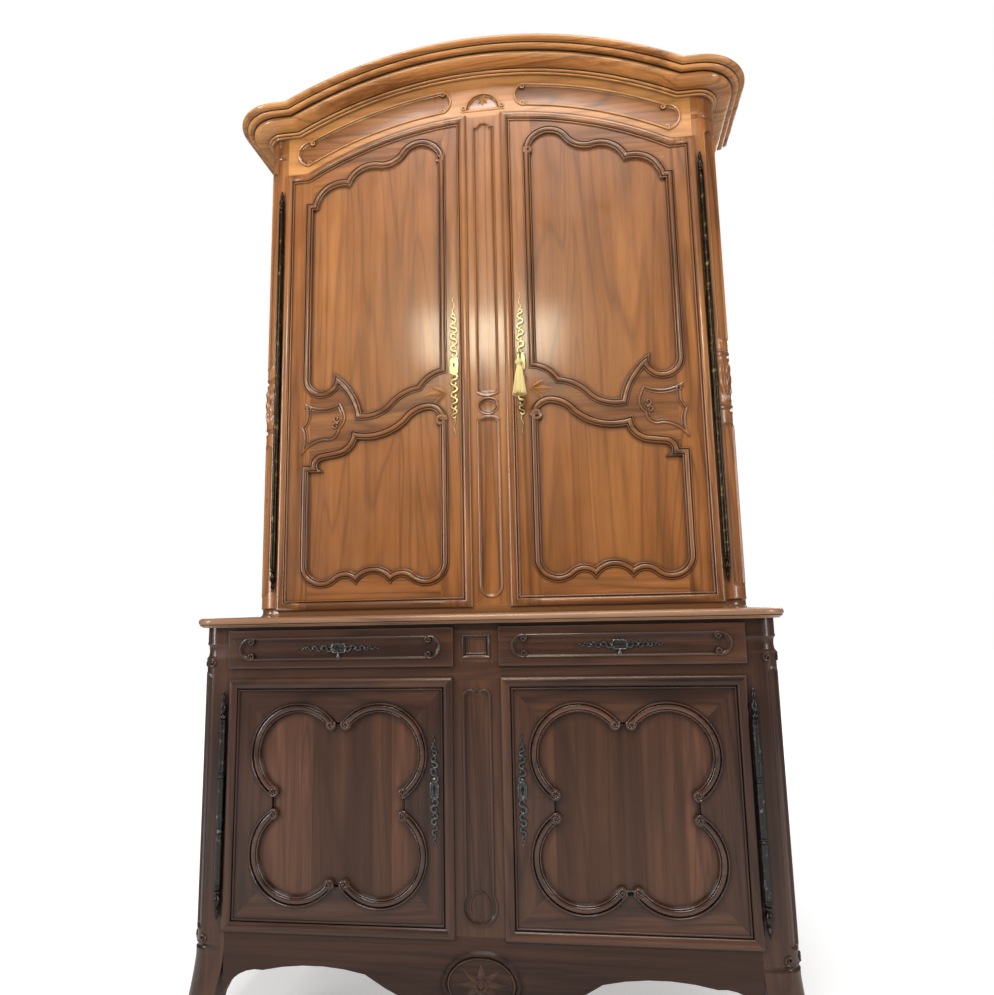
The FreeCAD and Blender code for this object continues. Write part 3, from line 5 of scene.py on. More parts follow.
import bmesh
import bpy
from mathutils import Matrix, Vector


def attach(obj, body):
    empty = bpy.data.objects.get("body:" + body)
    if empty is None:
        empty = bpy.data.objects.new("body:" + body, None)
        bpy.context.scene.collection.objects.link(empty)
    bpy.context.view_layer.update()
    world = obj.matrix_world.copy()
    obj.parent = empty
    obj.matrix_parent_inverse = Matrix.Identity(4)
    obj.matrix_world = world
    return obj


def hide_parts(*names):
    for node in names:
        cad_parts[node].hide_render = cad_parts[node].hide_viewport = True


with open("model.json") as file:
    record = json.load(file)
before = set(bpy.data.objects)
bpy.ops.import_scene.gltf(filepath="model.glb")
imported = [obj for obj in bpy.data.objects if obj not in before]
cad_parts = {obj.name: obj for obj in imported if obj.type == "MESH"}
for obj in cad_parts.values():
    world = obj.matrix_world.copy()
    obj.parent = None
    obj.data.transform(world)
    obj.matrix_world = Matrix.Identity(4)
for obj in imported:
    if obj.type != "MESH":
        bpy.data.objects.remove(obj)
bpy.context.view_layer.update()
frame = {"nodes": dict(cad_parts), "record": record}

record = frame["record"]
body_of = {node: body for body, nodes in record["behaviour"]["bodies"].items() for node in nodes}
slot_of = {row["node"]: row["material_slot"] for row in record["subparts"]}
random.seed(7)
MM = 0.001
UP, FORWARD = Vector((0, 0, 1)), Vector((0, -1, 0))

# Lengths shared with the solids, in millimetres
UPPER_FACE, LOWER_FACE = -8.0, -320.0
UPPER_DOOR_FACE, LOWER_DOOR_FACE = -18.0, -330.0
DOOR_THICK, LIP_DEPTH, REAR_INSET = 30.0, 9.7, 10.0
UPPER_DOOR_IN, UPPER_DOOR_OUT = 56.0, 677.0
UPPER_DOOR_BOTTOM, UPPER_DOOR_SHOULDER = 1055.0, 2518.0
ARCH_RADIUS, ARCH_BREAK = 1246.0, 602.0
ARCH_CENTRE = UPPER_DOOR_SHOULDER - sqrt(ARCH_RADIUS**2 - ARCH_BREAK**2)
FRIEZE_HEIGHT = 132.0
BED_RADIUS, CORNICE_BREAK = ARCH_RADIUS + FRIEZE_HEIGHT, 627.0
BED_LEVEL = ARCH_CENTRE + sqrt(BED_RADIUS**2 - CORNICE_BREAK**2)
PANEL_LEFT, PANEL_RIGHT = 128.0, 605.0
MID_LEVEL, SPUR_LEVEL, FOOT_LEVEL = 1640.0, 2410.0, 1124.0
PANEL_DROP, FIELD_DROP = 16.0, 9.0
SEAT, MOULDING = 18.0, 27.0
LOWER_DOOR_X, LOWER_DOOR_Z = (60.0, 660.0), (265.0, 882.0)
LOBE_RADIUS, LOBE_SPREAD, LOBE_RISE = 126.0, 107.0, 121.0


# Materials


class Graph:
    """The nodes of a material, or of a world."""

    def __init__(self, name, kind=bpy.data.materials):
        self.owner = kind.new(name)
        self.owner.use_nodes = True
        self.tree = self.owner.node_tree
        self.tree.nodes.clear()

    def add(self, kind, inputs=None, **settings):
        node = self.tree.nodes.new("ShaderNode" + kind)
        for key, value in settings.items():
            setattr(node, key, value)
        for key, value in (inputs or {}).items():
            self.put(node.inputs[key], value)
        return node

    def put(self, socket, value):
        if isinstance(value, bpy.types.NodeSocket):
            self.tree.links.new(value, socket)
        else:
            socket.default_value = value

    def sum(self, operation, *values):
        node = self.add("Math", operation=operation)
        for socket, value in zip(node.inputs, values):
            self.put(socket, value)
        return node.outputs[0]

    def ramp(self, factor, *stops, stepped=False):
        node = self.add("ValToRGB", {0: factor})
        if stepped:
            node.color_ramp.interpolation = "CONSTANT"
        marks = node.color_ramp.elements
        while len(marks) < len(stops):
            marks.new(0.5)
        for mark, (place, colour) in zip(marks, stops):
            mark.position = place
            mark.color = (*colour, 1) if isinstance(colour, tuple) else (colour, colour, colour, 1)
        return node.outputs[0]

    def mix(self, factor, first, second, blend="MIX"):
        node = self.add("Mix", data_type="RGBA", blend_type=blend)
        for place, value in ((0, factor), (6, first), (7, second)):
            value = (*value, 1) if isinstance(value, tuple) else value
            self.put(node.inputs[place], value)
        return node.outputs[2]

    def times(self, first, second):
        return self.sum("MULTIPLY", first, second)

    def tint(self, colour, tone):
        """A colour multiplied by a tone."""
        return self.mix(1.0, colour, tone, "MULTIPLY")

    def noise(self, place, scale, detail=4.0, rough=0.6, twist=0.0):
        if isinstance(scale, tuple):
            place = self.add("VectorMath", {0: place, 1: scale}, operation="MULTIPLY").outputs[0]
            scale = 1.0
        inputs = {"Vector": place, "Scale": scale, "Detail": detail, "Roughness": rough, "Distortion": twist}
        return self.add("TexNoise", inputs).outputs[0]

    def finish(self, inputs, height=None, strength=0.2, depth=0.001):
        shader = self.add("BsdfPrincipled", inputs)
        if height is not None:
            bump = self.add("Bump", {"Height": height, "Strength": strength, "Distance": depth})
            self.tree.links.new(bump.outputs[0], shader.inputs["Normal"])
        output = self.add("OutputMaterial")
        self.tree.links.new(shader.outputs[0], output.inputs[0])
        return self.owner


BOARD_SPAN = 1.4


def wood(name, dark, middle, light, axis, gloss=0.33, boards=(), grime_and_crease_shade=0.95, coat=0.45, figured=1.0,
         shine=0.5):
    """Walnut with its grain along one axis. boards are the (x, tone) of a panel's boards."""
    g = Graph(name)
    place = g.add("TexCoord").outputs["Object"]
    shape = g.add("NewGeometry").outputs

    def stretched(across, along):
        return tuple(along if way == axis else across for way in range(3))

    figure = g.noise(place, stretched(11.0, 0.9), 4.0, 0.55, 1.0)
    grain = g.noise(place, stretched(90.0, 2.2), 6.0, 0.6, 0.4)
    fibre = g.noise(place, stretched(620.0, 14.0), 3.0, 0.6)
    blend = g.sum("ADD", g.times(figure, 0.66), g.times(grain, 0.34))
    colour = g.ramp(blend, (0.32, dark), (0.48, middle), (0.68, light))
    waves = g.noise(place, stretched(5.5, 0.42), 2.0, 0.4, 0.8)
    years = g.sum("PINGPONG", g.times(waves, 11.0), 0.5)
    streaks = g.ramp(years, (0.0, 1.0 - 0.38 * figured), (0.2, 1.0))
    colour = g.tint(colour, streaks)
    pores = g.ramp(fibre, (0.36, 0.66), (0.5, 1.0))
    colour = g.mix(0.55, colour, pores, "MULTIPLY")
    tone = g.ramp(shape["Random Per Island"], (0.0, 0.86), (1.0, 1.12))
    if boards:
        x = g.add("SeparateXYZ", {0: place}).outputs[0]
        wander = g.times(g.noise(place, 0.9, 1.0), 0.006)
        share = g.sum("ADD", g.sum("DIVIDE", g.sum("ADD", x, wander), BOARD_SPAN), 0.5)
        tone = g.ramp(share, *[(edge / BOARD_SPAN + 0.5, level) for edge, level in boards], stepped=True)
    colour = g.tint(colour, tone)
    cloud = g.ramp(g.noise(place, 2.0, 3.0), (0.3, 0.84), (0.7, 1.12))
    colour = g.tint(colour, cloud)
    # Painted shade with some grime: creases and grooves found by ambient occlusion are darkened toward a deep
    # brown.
    hollow = g.add("AmbientOcclusion", {"Distance": 0.013}, samples=8).outputs[1]
    crease = g.ramp(hollow, (0.5, 1.0), (0.92, 0.0))
    colour = g.mix(g.times(crease, grime_and_crease_shade), colour, tuple(part * 0.16 for part in dark))
    # Painted shade: a wider ambient occlusion darkens corners, recesses and wood under overhangs.
    near = g.add("AmbientOcclusion", {"Distance": 0.06}, samples=6).outputs[1]
    colour = g.tint(colour, g.ramp(near, (0.4, 0.42), (0.95, 1.0)))
    # Painted highlight with edge wear: sharp edges and crests are mixed toward the light colour.
    edge = g.ramp(shape["Pointiness"], (0.52, 0.0), (0.6, 1.0))
    colour = g.mix(g.times(edge, 0.4), colour, light)
    wear = g.noise(place, 9.0, 5.0)
    rough = g.add("MapRange", {0: wear, 1: 0.3, 2: 0.7, 3: gloss * 0.8, 4: gloss * 1.3}).outputs[0]
    height = g.sum("ADD", g.times(fibre, 0.35), g.times(grain, 0.8))
    return g.finish(
        {"Base Color": colour, "Roughness": rough, "IOR": 1.48, "Specular IOR Level": shine,
         "Coat Weight": coat, "Coat Roughness": 0.13},
        height, 0.2, 0.0009,
    )


def metal(name, base, worn_and_glint, rough, metallic, scale, wear_and_glint_limit=0.42, edges=1.0):
    """Hand-worked metal: bright on its edges and in scattered spots, partly wear and partly painted glints;
    dull in its hollows.
    """
    g = Graph(name)
    place = g.add("TexCoord").outputs["Object"]
    patches = g.noise(place, scale, 5.0, 0.65)
    dents = g.noise(place, scale * 2.6, 3.0)
    # Painted glints with wear: pointy edges and noise spots take the bright second colour.
    edge = g.ramp(g.add("NewGeometry").outputs["Pointiness"], (0.48, 0.0), (0.58, 1.0))
    wear_and_glint_spots = g.ramp(patches, (wear_and_glint_limit, 0.0), (wear_and_glint_limit + 0.2, 1.0))
    colour = g.mix(g.sum("MAXIMUM", g.times(edge, edges), wear_and_glint_spots), base, worn_and_glint)
    hollow = g.add("AmbientOcclusion", {"Distance": 0.006}, samples=6).outputs[1]
    crease = g.ramp(hollow, (0.3, 0.8), (0.8, 0.0))
    colour = g.mix(crease, colour, tuple(part * 0.2 for part in base))
    dull = g.add("MapRange", {0: patches, 1: 0.3, 2: 0.7, 3: rough * 0.75, 4: rough * 1.3}).outputs[0]
    return g.finish({"Base Color": colour, "Roughness": dull, "Metallic": metallic}, dents, 0.3, 0.0006)


def silk(name, dark, light):
    g = Graph(name)
    place = g.add("TexCoord").outputs["Object"]
    tone = g.add("NewGeometry").outputs["Random Per Island"]
    strands = g.noise(place, (900.0, 900.0, 12.0), 3.0)
    share = g.sum("ADD", g.times(tone, 0.6), g.times(strands, 0.4))
    colour = g.mix(share, dark, light)
    return g.finish(
        {"Base Color": colour, "Roughness": 0.5, "Sheen Weight": 0.4, "Sheen Roughness": 0.4},
        strands, 0.3, 0.0005,
    )


HONEY = ((0.138, 0.044, 0.0095), (0.305, 0.108, 0.0265), (0.48, 0.194, 0.056))
GOLD = ((0.135, 0.044, 0.0092), (0.264, 0.09, 0.021), (0.38, 0.147, 0.039))
# Painted light: the cornice's palette is the crown's made a quarter lighter, standing for the bright light
# and sheen on the cornice.
CORNICE_PAINTED_LIGHT = ((0.3, 0.108, 0.026), (0.65, 0.275, 0.08), (0.86, 0.44, 0.16))
# Painted light: the crown's palette, for the frieze and its carving, is the upper walnut made lighter to make
# up for the weak light under the cornice.
CROWN_PAINTED_LIGHT = ((0.24, 0.085, 0.02), (0.54, 0.22, 0.062), (0.74, 0.36, 0.12))
# Painted highlight: the carved leaves' palette is lighter than the rail's, standing for the sheen on them.
LEAF_PAINTED_HIGHLIGHT = ((0.2, 0.07, 0.017), (0.43, 0.165, 0.045), (0.64, 0.29, 0.095))
RAIL = ((0.11, 0.038, 0.011), (0.22, 0.08, 0.025), (0.36, 0.15, 0.05))
# The lower walnut is darker than the upper partly by its own colour and partly as painted shade on the lower
# body.
RED = ((0.024, 0.0098, 0.0062), (0.054, 0.0225, 0.0138), (0.115, 0.05, 0.027))
# Painted highlight: the lobe mouldings' palette is the lower walnut made lighter, standing for the highlights
# on them.
LOBE_PAINTED_HIGHLIGHT = ((0.03, 0.012, 0.008), (0.066, 0.028, 0.017), (0.14, 0.06, 0.033))
SHADED = ((0.014, 0.0062, 0.0048), (0.03, 0.0135, 0.01), (0.07, 0.032, 0.021))
SAWN = ((0.14, 0.075, 0.036), (0.24, 0.14, 0.072), (0.34, 0.215, 0.12))
SLAB = ((0.15, 0.069, 0.036), (0.3, 0.15, 0.077), (0.47, 0.26, 0.145))
UPPER_BOARDS = ((-0.7, 1.06), (-0.47, 0.95), (-0.36, 1.04), (-0.2, 1.08), (0.0, 1.06), (0.25, 0.93),
                (0.41, 1.02))
LOWER_BOARDS = ((-0.7, 2.0), (-0.43, 0.9), (-0.22, 2.1), (0.0, 1.8), (0.19, 0.85), (0.4, 1.4), (0.5, 2.0))
AXES = {"x": 0, "y": 1, "z": 2}
upper_wood = {a: wood("upper_wood_" + a, *HONEY, AXES[a]) for a in AXES}
lower_wood = {a: wood("lower_wood_" + a, *RED, AXES[a], coat=0.28, shine=0.34) for a in AXES}
inside_wood = {a: wood("inside_wood_" + a, *SAWN, AXES[a], gloss=0.62, coat=0.0) for a in AXES}
lobe_wood_painted_highlight = wood("lobe_wood_painted_highlight", *LOBE_PAINTED_HIGHLIGHT, 0, gloss=0.24)
crown_wood_painted_light = wood("crown_wood_painted_light", *CROWN_PAINTED_LIGHT, 0)
cornice_wood_painted_light = wood("cornice_wood_painted_light", *CORNICE_PAINTED_LIGHT, 0, coat=0.6)
slab_wood = wood("slab_wood", *SLAB, 0)
rail_wood = wood("middle_rail_wood", *RAIL, 0)
bead_wood = wood("bead_wood", *RAIL, 2)
leaf_wood_painted_highlight = wood("leaf_wood_painted_highlight", *LEAF_PAINTED_HIGHLIGHT, 0, grime_and_crease_shade=0.3)
apron_wood = wood("apron_wood", *SHADED, 0, coat=0.1, shine=0.25)
upper_panel_wood = wood("upper_panel_wood", *GOLD, 2, gloss=0.36, figured=0.95, boards=UPPER_BOARDS)
lower_panel_wood = wood("lower_panel_wood", *RED, 2, gloss=0.36, coat=0.2, shine=0.3, boards=LOWER_BOARDS)
# Each metal's second colour is its bright wear and painted glints; on the irons it stands mostly for glints.
brass = metal("old_brass", (0.24, 0.165, 0.065), (0.76, 0.61, 0.31), 0.31, 1.0, 60.0, 0.45, 0.8)
dark_iron = metal("dark_iron", (0.012, 0.011, 0.011), (0.5, 0.49, 0.48), 0.27, 0.9, 140.0, 0.53, 0.3)
rod_iron = metal("rod_iron", (0.012, 0.011, 0.011), (0.4, 0.39, 0.38), 0.3, 0.9, 90.0, 0.57, 0.12)
# Painted shade: the near-black floor of a shallow keyhole stands for the dark hole.
hole_painted_shade = metal("keyhole_painted_shade", (0.004, 0.004, 0.004), (0.01, 0.01, 0.01), 0.7, 0.2, 40.0)
hinge_iron = metal("hinge_iron", (0.016, 0.012, 0.01), (0.4, 0.29, 0.13), 0.3, 0.95, 45.0, 0.56, 0.06)
tassel_silk = silk("tassel_silk", (0.5, 0.34, 0.08), (1.0, 0.88, 0.46))


# Outlines in the plane of the front, as (x, z) points in millimetres

STEP_ANGLE, STEP_LENGTH = 5, 25


class Run:
    """One straight or round run of an outline. An inset moves it by its share of the inset's width."""

    def __init__(self, start, end, via=None, share=1.0, count=None, plain=False):
        self.start, self.end, self.share, self.via, self.count = start, end, share, via, count
        self.plain = plain
        if via is None:
            self.count = 8 if plain else 1
            return
        (ax, az), (bx, bz), (cx, cz) = start, via, end
        twice = 2 * (ax * (bz - cz) + bx * (cz - az) + cx * (az - bz))
        aa, bb, cc = ax * ax + az * az, bx * bx + bz * bz, cx * cx + cz * cz
        self.centre = (
            (aa * (bz - cz) + bb * (cz - az) + cc * (az - bz)) / twice,
            (aa * (cx - bx) + bb * (ax - cx) + cc * (bx - ax)) / twice,
        )
        self.turn = 1 if (bx - ax) * (cz - az) - (bz - az) * (cx - ax) > 0 else -1
        self.radius = dist(start, self.centre)
        self.first = atan2(az - self.centre[1], ax - self.centre[0])
        last = atan2(cz - self.centre[1], cx - self.centre[0])
        self.sweep = (last - self.first) * self.turn % (2 * pi)
        self.via = self.at(0.5)
        if count is None:
            length = self.sweep * self.radius
            self.count = max(4, ceil(degrees(self.sweep) / STEP_ANGLE), ceil(length / STEP_LENGTH))

    def at(self, share):
        if self.via is None:
            return tuple(a + (b - a) * share for a, b in zip(self.start, self.end))
        angle = self.first + self.turn * self.sweep * share
        return self.centre[0] + self.radius * cos(angle), self.centre[1] + self.radius * sin(angle)

    def inside(self, place, side):
        """The unit direction into the outline, and how far inside this run a place is."""
        if self.via is None:
            across, up = self.end[0] - self.start[0], self.end[1] - self.start[1]
            length = hypot(across, up)
            nx, nz = -up / length * side, across / length * side
            return (nx, nz), (place[0] - self.start[0]) * nx + (place[1] - self.start[1]) * nz
        hollow, reach = side * self.turn, dist(place, self.centre)
        nx = (self.centre[0] - place[0]) / reach * hollow
        nz = (self.centre[1] - place[1]) / reach * hollow
        return (nx, nz), (self.radius - reach) * hollow


class Outline:
    """A closed chain of runs, which can be drawn inwards by a distance."""

    def __init__(self, x, z):
        self.first = self.here = (x, z)
        self.runs = []

    def line(self, x, z, share=1.0, plain=False):
        self.runs.append(Run(self.here, (x, z), share=share, plain=plain))
        self.here = (x, z)
        return self

    def arc(self, via, end, share=1.0, count=None):
        self.runs.append(Run(self.here, end, via, share, count))
        self.here = end
        return self

    def bends(self, place, *rows):
        """Arcs through two places each, given as the numbers that place takes."""
        for row in rows:
            self.arc(place(*row[:2]), place(*row[2:]))
        return self

    def close(self):
        return self.line(*self.first) if dist(self.here, self.first) > 1e-6 else self

    def points(self):
        return [run.at(step / run.count) for run in self.runs for step in range(run.count)]

    def side(self):
        points = self.points()
        area = sum(a[0] * b[1] - b[0] * a[1] for a, b in zip(points, points[1:] + points[:1]))
        return 1 if area > 0 else -1

    def inset(self, distance):
        if distance == 0:
            return self
        side, places = self.side(), []
        for before, after in zip([self.runs[-1]] + self.runs[:-1], self.runs):
            x, z = after.start
            for step in range(12):
                (ax, az), a_in = before.inside((x, z), side)
                (bx, bz), b_in = after.inside((x, z), side)
                da, db = distance * before.share - a_in, distance * after.share - b_in
                spread = ax * bz - az * bx
                if abs(spread) < 0.03:
                    x, z = x + (ax * da + bx * db) / 2, z + (az * da + bz * db) / 2
                else:
                    x, z = x + (da * bz - db * az) / spread, z + (db * ax - da * bx) / spread
            places.append((x, z))
        moved = Outline(*places[0])
        for run, end in zip(self.runs, places[1:] + places[:1]):
            if run.via is None:
                moved.line(*end, share=run.share, plain=run.plain)
            else:
                (nx, nz), depth = run.inside(run.via, side)
                reach = distance * run.share
                moved.arc((run.via[0] + nx * reach, run.via[1] + nz * reach), end, run.share, run.count)
        return moved


def shares(steps):
    """Shares from 0 to 1 in as many steps."""
    return [step / steps for step in range(steps + 1)]


def circle(sides):
    """Angles round a full turn."""
    return [2 * pi * side / sides for side in range(sides)]


def polygon(*points):
    outline = Outline(*points[0])
    for point in points[1:]:
        outline.line(*point)
    return outline.close()


def rectangle(x, z):
    return polygon((x[0], z[0]), (x[1], z[0]), (x[1], z[1]), (x[0], z[1]))


def bead(low, high, near, far, out, steps=8):
    """Points of a half-round moulding from (low, near) to (high, far)."""
    points = []
    for share in shares(steps):
        along = (1 - cos(pi * share)) / 2
        points.append((low + (high - low) * along, near + (far - near) * along + out * sin(pi * share)))
    return points


def half_round(start, width, base, crest, steps=8):
    """(inset, depth) points of a half-round moulding."""
    return bead(start, start + width, base, base, crest - base, steps)


# Mesh tools


def spot(x, y, z):
    """A place given in millimetres."""
    return Vector((x * MM, y * MM, z * MM))


def ring(bm, outline, y, plain=None):
    """Points of an outline at a depth. Runs marked plain keep to another depth between their ends."""
    made = []
    for run in outline.runs:
        for step in range(run.count):
            x, z = run.at(step / run.count)
            depth = plain if plain is not None and run.plain and step else y
            made.append(bm.verts.new(spot(x, depth, z)))
    return made


def join(bm, near, far, loop=True):
    """Faces between two rings of as many points."""
    last = len(near) if loop else len(near) - 1
    for step in range(last):
        follow = (step + 1) % len(near)
        bm.faces.new((near[step], near[follow], far[follow], far[step]))


def loft(bm, rings):
    """Faces through a row of rings, closed at both ends."""
    for near, far in zip(rings, rings[1:]):
        join(bm, near, far)
    bm.faces.new(rings[0][::-1])
    bm.faces.new(rings[-1])


def paint(bm, before, index):
    """Gives a material to the faces made since before."""
    for face in set(bm.faces) - before:
        face.material_index = index


def bands(bm, outline, profile, face):
    """A moulding round an outline. Gives its first and last ring of points."""
    rings = []
    for inset, drop in profile:
        level = face + (FIELD_DROP if inset < LINK_LIP else min(PANEL_DROP - 0.4, drop + 9))
        rings.append(ring(bm, outline.inset(inset), face + drop, level))
    for near, far in zip(rings, rings[1:]):
        join(bm, near, far)
    return rings[0], rings[-1]


def loop_edges(bm, points):
    edges = []
    for a, b in zip(points, points[1:] + points[:1]):
        edges.append(bm.edges.get((a, b)) or bm.edges.new((a, b)))
    return edges


def fill(bm, *rings):
    """Flat faces inside the first ring and outside the others."""
    edges = [edge for points in rings for edge in loop_edges(bm, points)]
    bmesh.ops.triangle_fill(bm, use_beauty=True, use_dissolve=False, edges=edges)


def tube(bm, points, radii, sides=10, flat=1.0, front=FORWARD):
    """A rod along points. flat squeezes it from front to back."""
    rings = []
    for step, point in enumerate(points):
        before, after = points[max(step - 1, 0)], points[min(step + 1, len(points) - 1)]
        along = (after - before).normalized()
        out = (front - along * front.dot(along)).normalized()
        across = along.cross(out) * radii[step]
        out = out * radii[step] * flat
        rings.append([bm.verts.new(point + across * cos(turn) + out * sin(turn)) for turn in circle(sides)])
    loft(bm, rings)


def hoop(bm, points, thick, sides=8, flat=0.9, front=FORWARD):
    """A closed rod round points."""
    tube(bm, points + points[:2], [thick * MM] * (len(points) + 2), sides, flat, front)


def turned(bm, profile, x, y, sides=24):
    """A turned piece on an upright axis, from (radius, height) points."""
    rings = []
    for radius, height in profile:
        places = [spot(x + radius * cos(turn), y + radius * sin(turn), height) for turn in circle(sides)]
        rings.append([bm.verts.new(place) for place in places])
    loft(bm, rings)


def block(bm, x, y, z, bevel=0.0):
    """A box between pairs of low and high lengths, with eased edges."""
    made = bmesh.ops.create_cube(bm, size=1.0)["verts"]
    for vert in made:
        spans = zip(vert.co, (x, y, z))
        vert.co = Vector([(low + high) / 2 * MM + part * (high - low) * MM for part, (low, high) in spans])
    if bevel:
        edges = list({edge for vert in made for edge in vert.link_edges})
        bmesh.ops.bevel(bm, geom=edges, offset=bevel * MM, segments=2, affect="EDGES", profile=0.5)


def spiral(centre, radius, turns, start, way, y, rise=0.0, steps=26, core=0.18):
    """Points of a flat spiral, from its outer end to its eye."""
    points = []
    for share in shares(steps):
        reach = radius * (1 - share * (1 - core))
        angle = start + way * turns * 2 * pi * share
        points.append(spot(centre[0] + reach * cos(angle), y - rise * share, centre[1] + reach * sin(angle)))
    return points


def mirrored(bm):
    for vert in bm.verts:
        vert.co.x = -vert.co.x
    bmesh.ops.reverse_faces(bm, faces=bm.faces)


def corner_normals(bm, angle):
    """Normals weighted by area, so that flat faces stay flat beside their eased edges."""
    limit = cos(radians(angle))
    weights = {face: face.normal * face.calc_area() for face in bm.faces}
    normals = []
    for face in bm.faces:
        for vert in face.verts:
            total = Vector((0, 0, 0))
            for other in vert.link_faces:
                if other.normal.dot(face.normal) > limit:
                    total += weights[other]
            normals.append(total.normalized())
    return normals


def add_object(name, bm, materials):
    mesh = bpy.data.meshes.new(name)
    bm.to_mesh(mesh)
    bm.free()
    for material in materials:
        mesh.materials.append(material)
    obj = bpy.data.objects.new(name, mesh)
    bpy.context.scene.collection.objects.link(obj)
    return obj


def piece(name, bm, body, slot, materials, nodes=(), angle=38.0):
    """Makes a smooth-shaded object that rides on a body."""
    bmesh.ops.recalc_face_normals(bm, faces=bm.faces)
    normals = corner_normals(bm, angle)
    obj = add_object(name, bm, materials)
    obj.data.shade_smooth()
    obj.data.normals_split_custom_set(normals)
    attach(obj, body)
    if nodes:
        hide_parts(*nodes)


def single(name, build, body, slot, materials, nodes=(), angle=38.0):
    """A piece from the function that builds its mesh."""
    bm = bmesh.new()
    build(bm)
    piece(name, bm, body, slot, materials, nodes, angle)


def pair(name, build, body, slot, materials, nodes=(), angle=38.0):
    """A right-hand piece and its mirror image. {} in a name stands for the side."""

    def build_left(bm):
        build(bm)
        mirrored(bm)

    for side, made in (("right", build), ("left", build_left)):
        ours = [node.format(side) for node in nodes]
        single(name.format(side), made, body.format(side), slot, materials, ours, angle)


# Doors


PANEL_WIDE = PANEL_RIGHT - PANEL_LEFT
TOP_RAIL = 48.0


def across(share):
    return PANEL_LEFT + PANEL_WIDE * share


def arch(radius, x):
    return x, ARCH_CENTRE + sqrt(radius**2 - x**2)


def arch_via(radius, a, b):
    turn = (asin(a / radius) + asin(b / radius)) / 2
    return radius * sin(turn), ARCH_CENTRE + radius * cos(turn)


def under_arch(share, drop):
    x, z = arch(ARCH_RADIUS, across(share))
    return x, z - TOP_RAIL - PANEL_WIDE * drop


def from_rail(share, rise):
    return across(share), MID_LEVEL + PANEL_WIDE * rise


def from_foot(share, rise):
    return across(share), FOOT_LEVEL + PANEL_WIDE * rise


upper_panel = (
    Outline(*under_arch(0, 0.168))
    .bends(under_arch, (0.18, 0, 0.32, 0.044), (0.37, 0.082, 0.45, 0.08), (0.57, 0.04, 0.71, 0.096))
    .arc(under_arch(0.84, 0.063), (across(0.955), SPUR_LEVEL))
    .line(PANEL_RIGHT, SPUR_LEVEL)
    .line(*from_rail(1, 0.327))
    .bends(from_rail, (0.88, 0.189, 0.74, 0.26), (0.67, 0.164, 0.63, 0.029), (0.5, 0.029, 0.38, 0.09),
           (0.28, 0.17, 0.176, 0.197), (0.126, 0.262, 0, 0.308))
    .close()
)
ear_in, ear_out = across(0.857), PANEL_RIGHT - MOULDING * 1.1
ear_bend = ear_in + (ear_out - ear_in) * 0.73
lower_panel = (
    Outline(*from_rail(0, -0.019))
    .bends(from_rail, (0.031, 0.078, 0.13, 0.124), (0.222, 0.103, 0.312, 0.031), (0.465, -0.05, 0.66, -0.038),
           (0.68, -0.12, 0.746, -0.166))
    .line(ear_in, MID_LEVEL - PANEL_WIDE * 0.182)
    .arc((ear_bend, MID_LEVEL - PANEL_WIDE * 0.214), (ear_out, MID_LEVEL - PANEL_WIDE * 0.264))
    .line(*from_rail(1, -0.264))
    .line(*from_foot(1, 0.136))
    .bends(from_foot, (0.897, 0.008, 0.738, 0.042), (0.68, 0.059, 0.614, 0.013), (0.5, 0.084, 0.386, 0.013),
           (0.32, 0.059, 0.262, 0.042), (0.103, 0.008, 0, 0.136))
    .close()
)
upper_rim = (
    Outline(UPPER_DOOR_IN, UPPER_DOOR_BOTTOM)
    .line(UPPER_DOOR_OUT, UPPER_DOOR_BOTTOM)
    .line(UPPER_DOOR_OUT, UPPER_DOOR_SHOULDER)
    .line(ARCH_BREAK, UPPER_DOOR_SHOULDER)
    .arc(arch_via(ARCH_RADIUS, ARCH_BREAK, UPPER_DOOR_IN), arch(ARCH_RADIUS, UPPER_DOOR_IN))
    .close()
)
seat_in, seat_out = SEAT / PANEL_WIDE, 1 - SEAT / PANEL_WIDE
upper_seat = polygon(
    under_arch(seat_in, 0.057), under_arch(0.35, 0), under_arch(seat_out, 0.08), from_rail(seat_out, 0.2),
    from_rail(0.77, 0.2), from_rail(0.69, 0.059), from_rail(0.55, 0.059), from_rail(seat_in, 0.268),
)
lower_seat = polygon(
    from_rail(seat_in, 0.088), from_rail(0.22, 0.088), from_rail(0.4, -0.075), from_rail(0.66, -0.075),
    from_rail(seat_out, -0.23), (across(seat_out), FOOT_LEVEL + SEAT), (across(seat_in), FOOT_LEVEL + SEAT),
)
lower_middle = (sum(LOWER_DOOR_X) / 2, sum(LOWER_DOOR_Z) / 2)
TOP_END, LOW_END = pi - radians(38), -radians(58)
LINK_WIDE, LINK_HIGH, LINK_LIP = 7.4, 13.6, 2.0


def on_lobe(right, up, angle):
    x = lower_middle[0] + right * (LOBE_SPREAD + LOBE_RADIUS * cos(angle))
    z = lower_middle[1] + up * (LOBE_RISE + LOBE_RADIUS * sin(angle))
    return x, z


